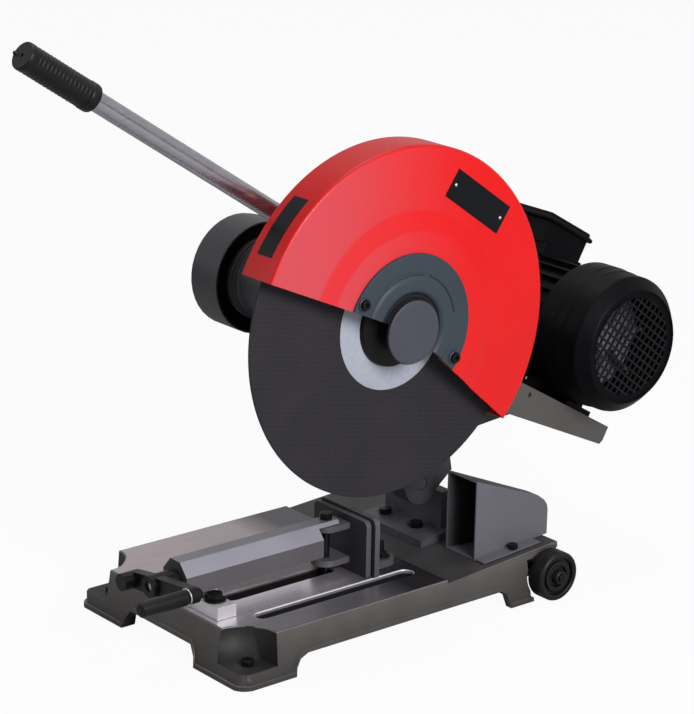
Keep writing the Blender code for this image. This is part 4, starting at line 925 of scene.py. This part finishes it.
def camera():
    """The photo's camera, fitted to the machine's circles and straight edges."""
    a, e, roll = CAMERA_AZIMUTH, CAMERA_ELEVATION, CAMERA_ROLL
    back = Vector((sin(a) * cos(e), -cos(a) * cos(e), sin(e)))
    right = Vector((cos(a), sin(a), 0))
    up = back.cross(right)
    right, up = right * cos(roll) + up * sin(roll), up * cos(roll) - right * sin(roll)
    lens = bpy.data.cameras.new("photo_camera")
    lens.sensor_fit = "AUTO"
    lens.sensor_width = SENSOR_MM
    lens.lens = CAMERA_FOCAL_PX * SENSOR_MM / IMAGE_HEIGHT_PX
    lens.clip_end = 50
    view = bpy.data.objects.new("photo_camera", lens)
    pose = Matrix((right, up, back)).transposed().to_4x4()
    pose.translation = CAMERA_TARGET + back * CAMERA_DISTANCE
    view.matrix_world = pose
    bpy.context.scene.collection.objects.link(view)
    bpy.context.scene.camera = view


def lamp(name, place, aim, size, power):
    light = bpy.data.lights.new(name, "AREA")
    light.shape = "RECTANGLE"
    light.size, light.size_y = size
    light.energy = power
    holder = bpy.data.objects.new(name, light)
    holder.location = place
    holder.rotation_euler = (Vector(aim) - Vector(place)).to_track_quat("-Z", "Y").to_euler()
    bpy.context.scene.collection.objects.link(holder)


def studio():
    clear_selection()
    bpy.ops.mesh.primitive_plane_add(size=30, location=(0, 0, -0.0004))
    floor = bpy.context.object
    floor.name = "pale_floor"
    cloth = bpy.data.materials.new("pale_floor")
    cloth.use_nodes = True
    nodes = cloth.node_tree.nodes
    links = cloth.node_tree.links
    nodes.clear()
    matt = nodes.new("ShaderNodeBsdfDiffuse")
    matt.inputs["Color"].default_value = grey(0.60)
    glow = nodes.new("ShaderNodeEmission")
    glow.inputs["Color"].default_value = WHITE
    path = nodes.new("ShaderNodeLightPath")
    share = nodes.new("ShaderNodeMath")
    share.operation = "MULTIPLY"
    share.inputs[1].default_value = 0.95
    links.new(path.outputs["Is Camera Ray"], share.inputs[0])
    blend = nodes.new("ShaderNodeMixShader")
    links.new(share.outputs["Value"], blend.inputs["Fac"])
    links.new(matt.outputs["BSDF"], blend.inputs[1])
    links.new(glow.outputs["Emission"], blend.inputs[2])
    output = nodes.new("ShaderNodeOutputMaterial")
    links.new(blend.outputs["Shader"], output.inputs["Surface"])
    floor.data.materials.append(cloth)

    world = bpy.data.worlds.new("studio")
    bpy.context.scene.world = world
    world.use_nodes = True
    nodes = world.node_tree.nodes
    links = world.node_tree.links
    sky = nodes["Background"]
    sky.inputs["Color"].default_value = WHITE
    path = nodes.new("ShaderNodeLightPath")
    mirrored = nodes.new("ShaderNodeMapRange")
    mirrored.inputs["To Min"].default_value = 0.20
    mirrored.inputs["To Max"].default_value = 0.65
    links.new(path.outputs["Is Glossy Ray"], mirrored.inputs["Value"])
    seen = nodes.new("ShaderNodeMath")
    seen.operation = "MAXIMUM"
    links.new(path.outputs["Is Camera Ray"], seen.inputs[0])
    links.new(mirrored.outputs["Result"], seen.inputs[1])
    links.new(seen.outputs["Value"], sky.inputs["Strength"])
    lamp("key_softbox", (2.75, -0.25, 1.8), (0, 0, 0.3), (1.3, 1.3), 84)
    lamp("top_softbox", (-0.4, 0.5, 2.8), (0, 0, 0.2), (1.6, 1.6), 24)
    lamp("front_softbox", (-1.4, -2.4, 1.4), (0, 0, 0.3), (0.9, 1.2), 9)


remaining_nodes()
base()
castings()
sheet_and_ram()
wheel_guard()
spindle_cover()
cutting_disc()
fan_cowl()
handle()
transport_wheels()
name_plate()
vice_thread()
camera()
studio()
bpy.context.scene.view_settings.view_transform = "Standard"
clear_selection()
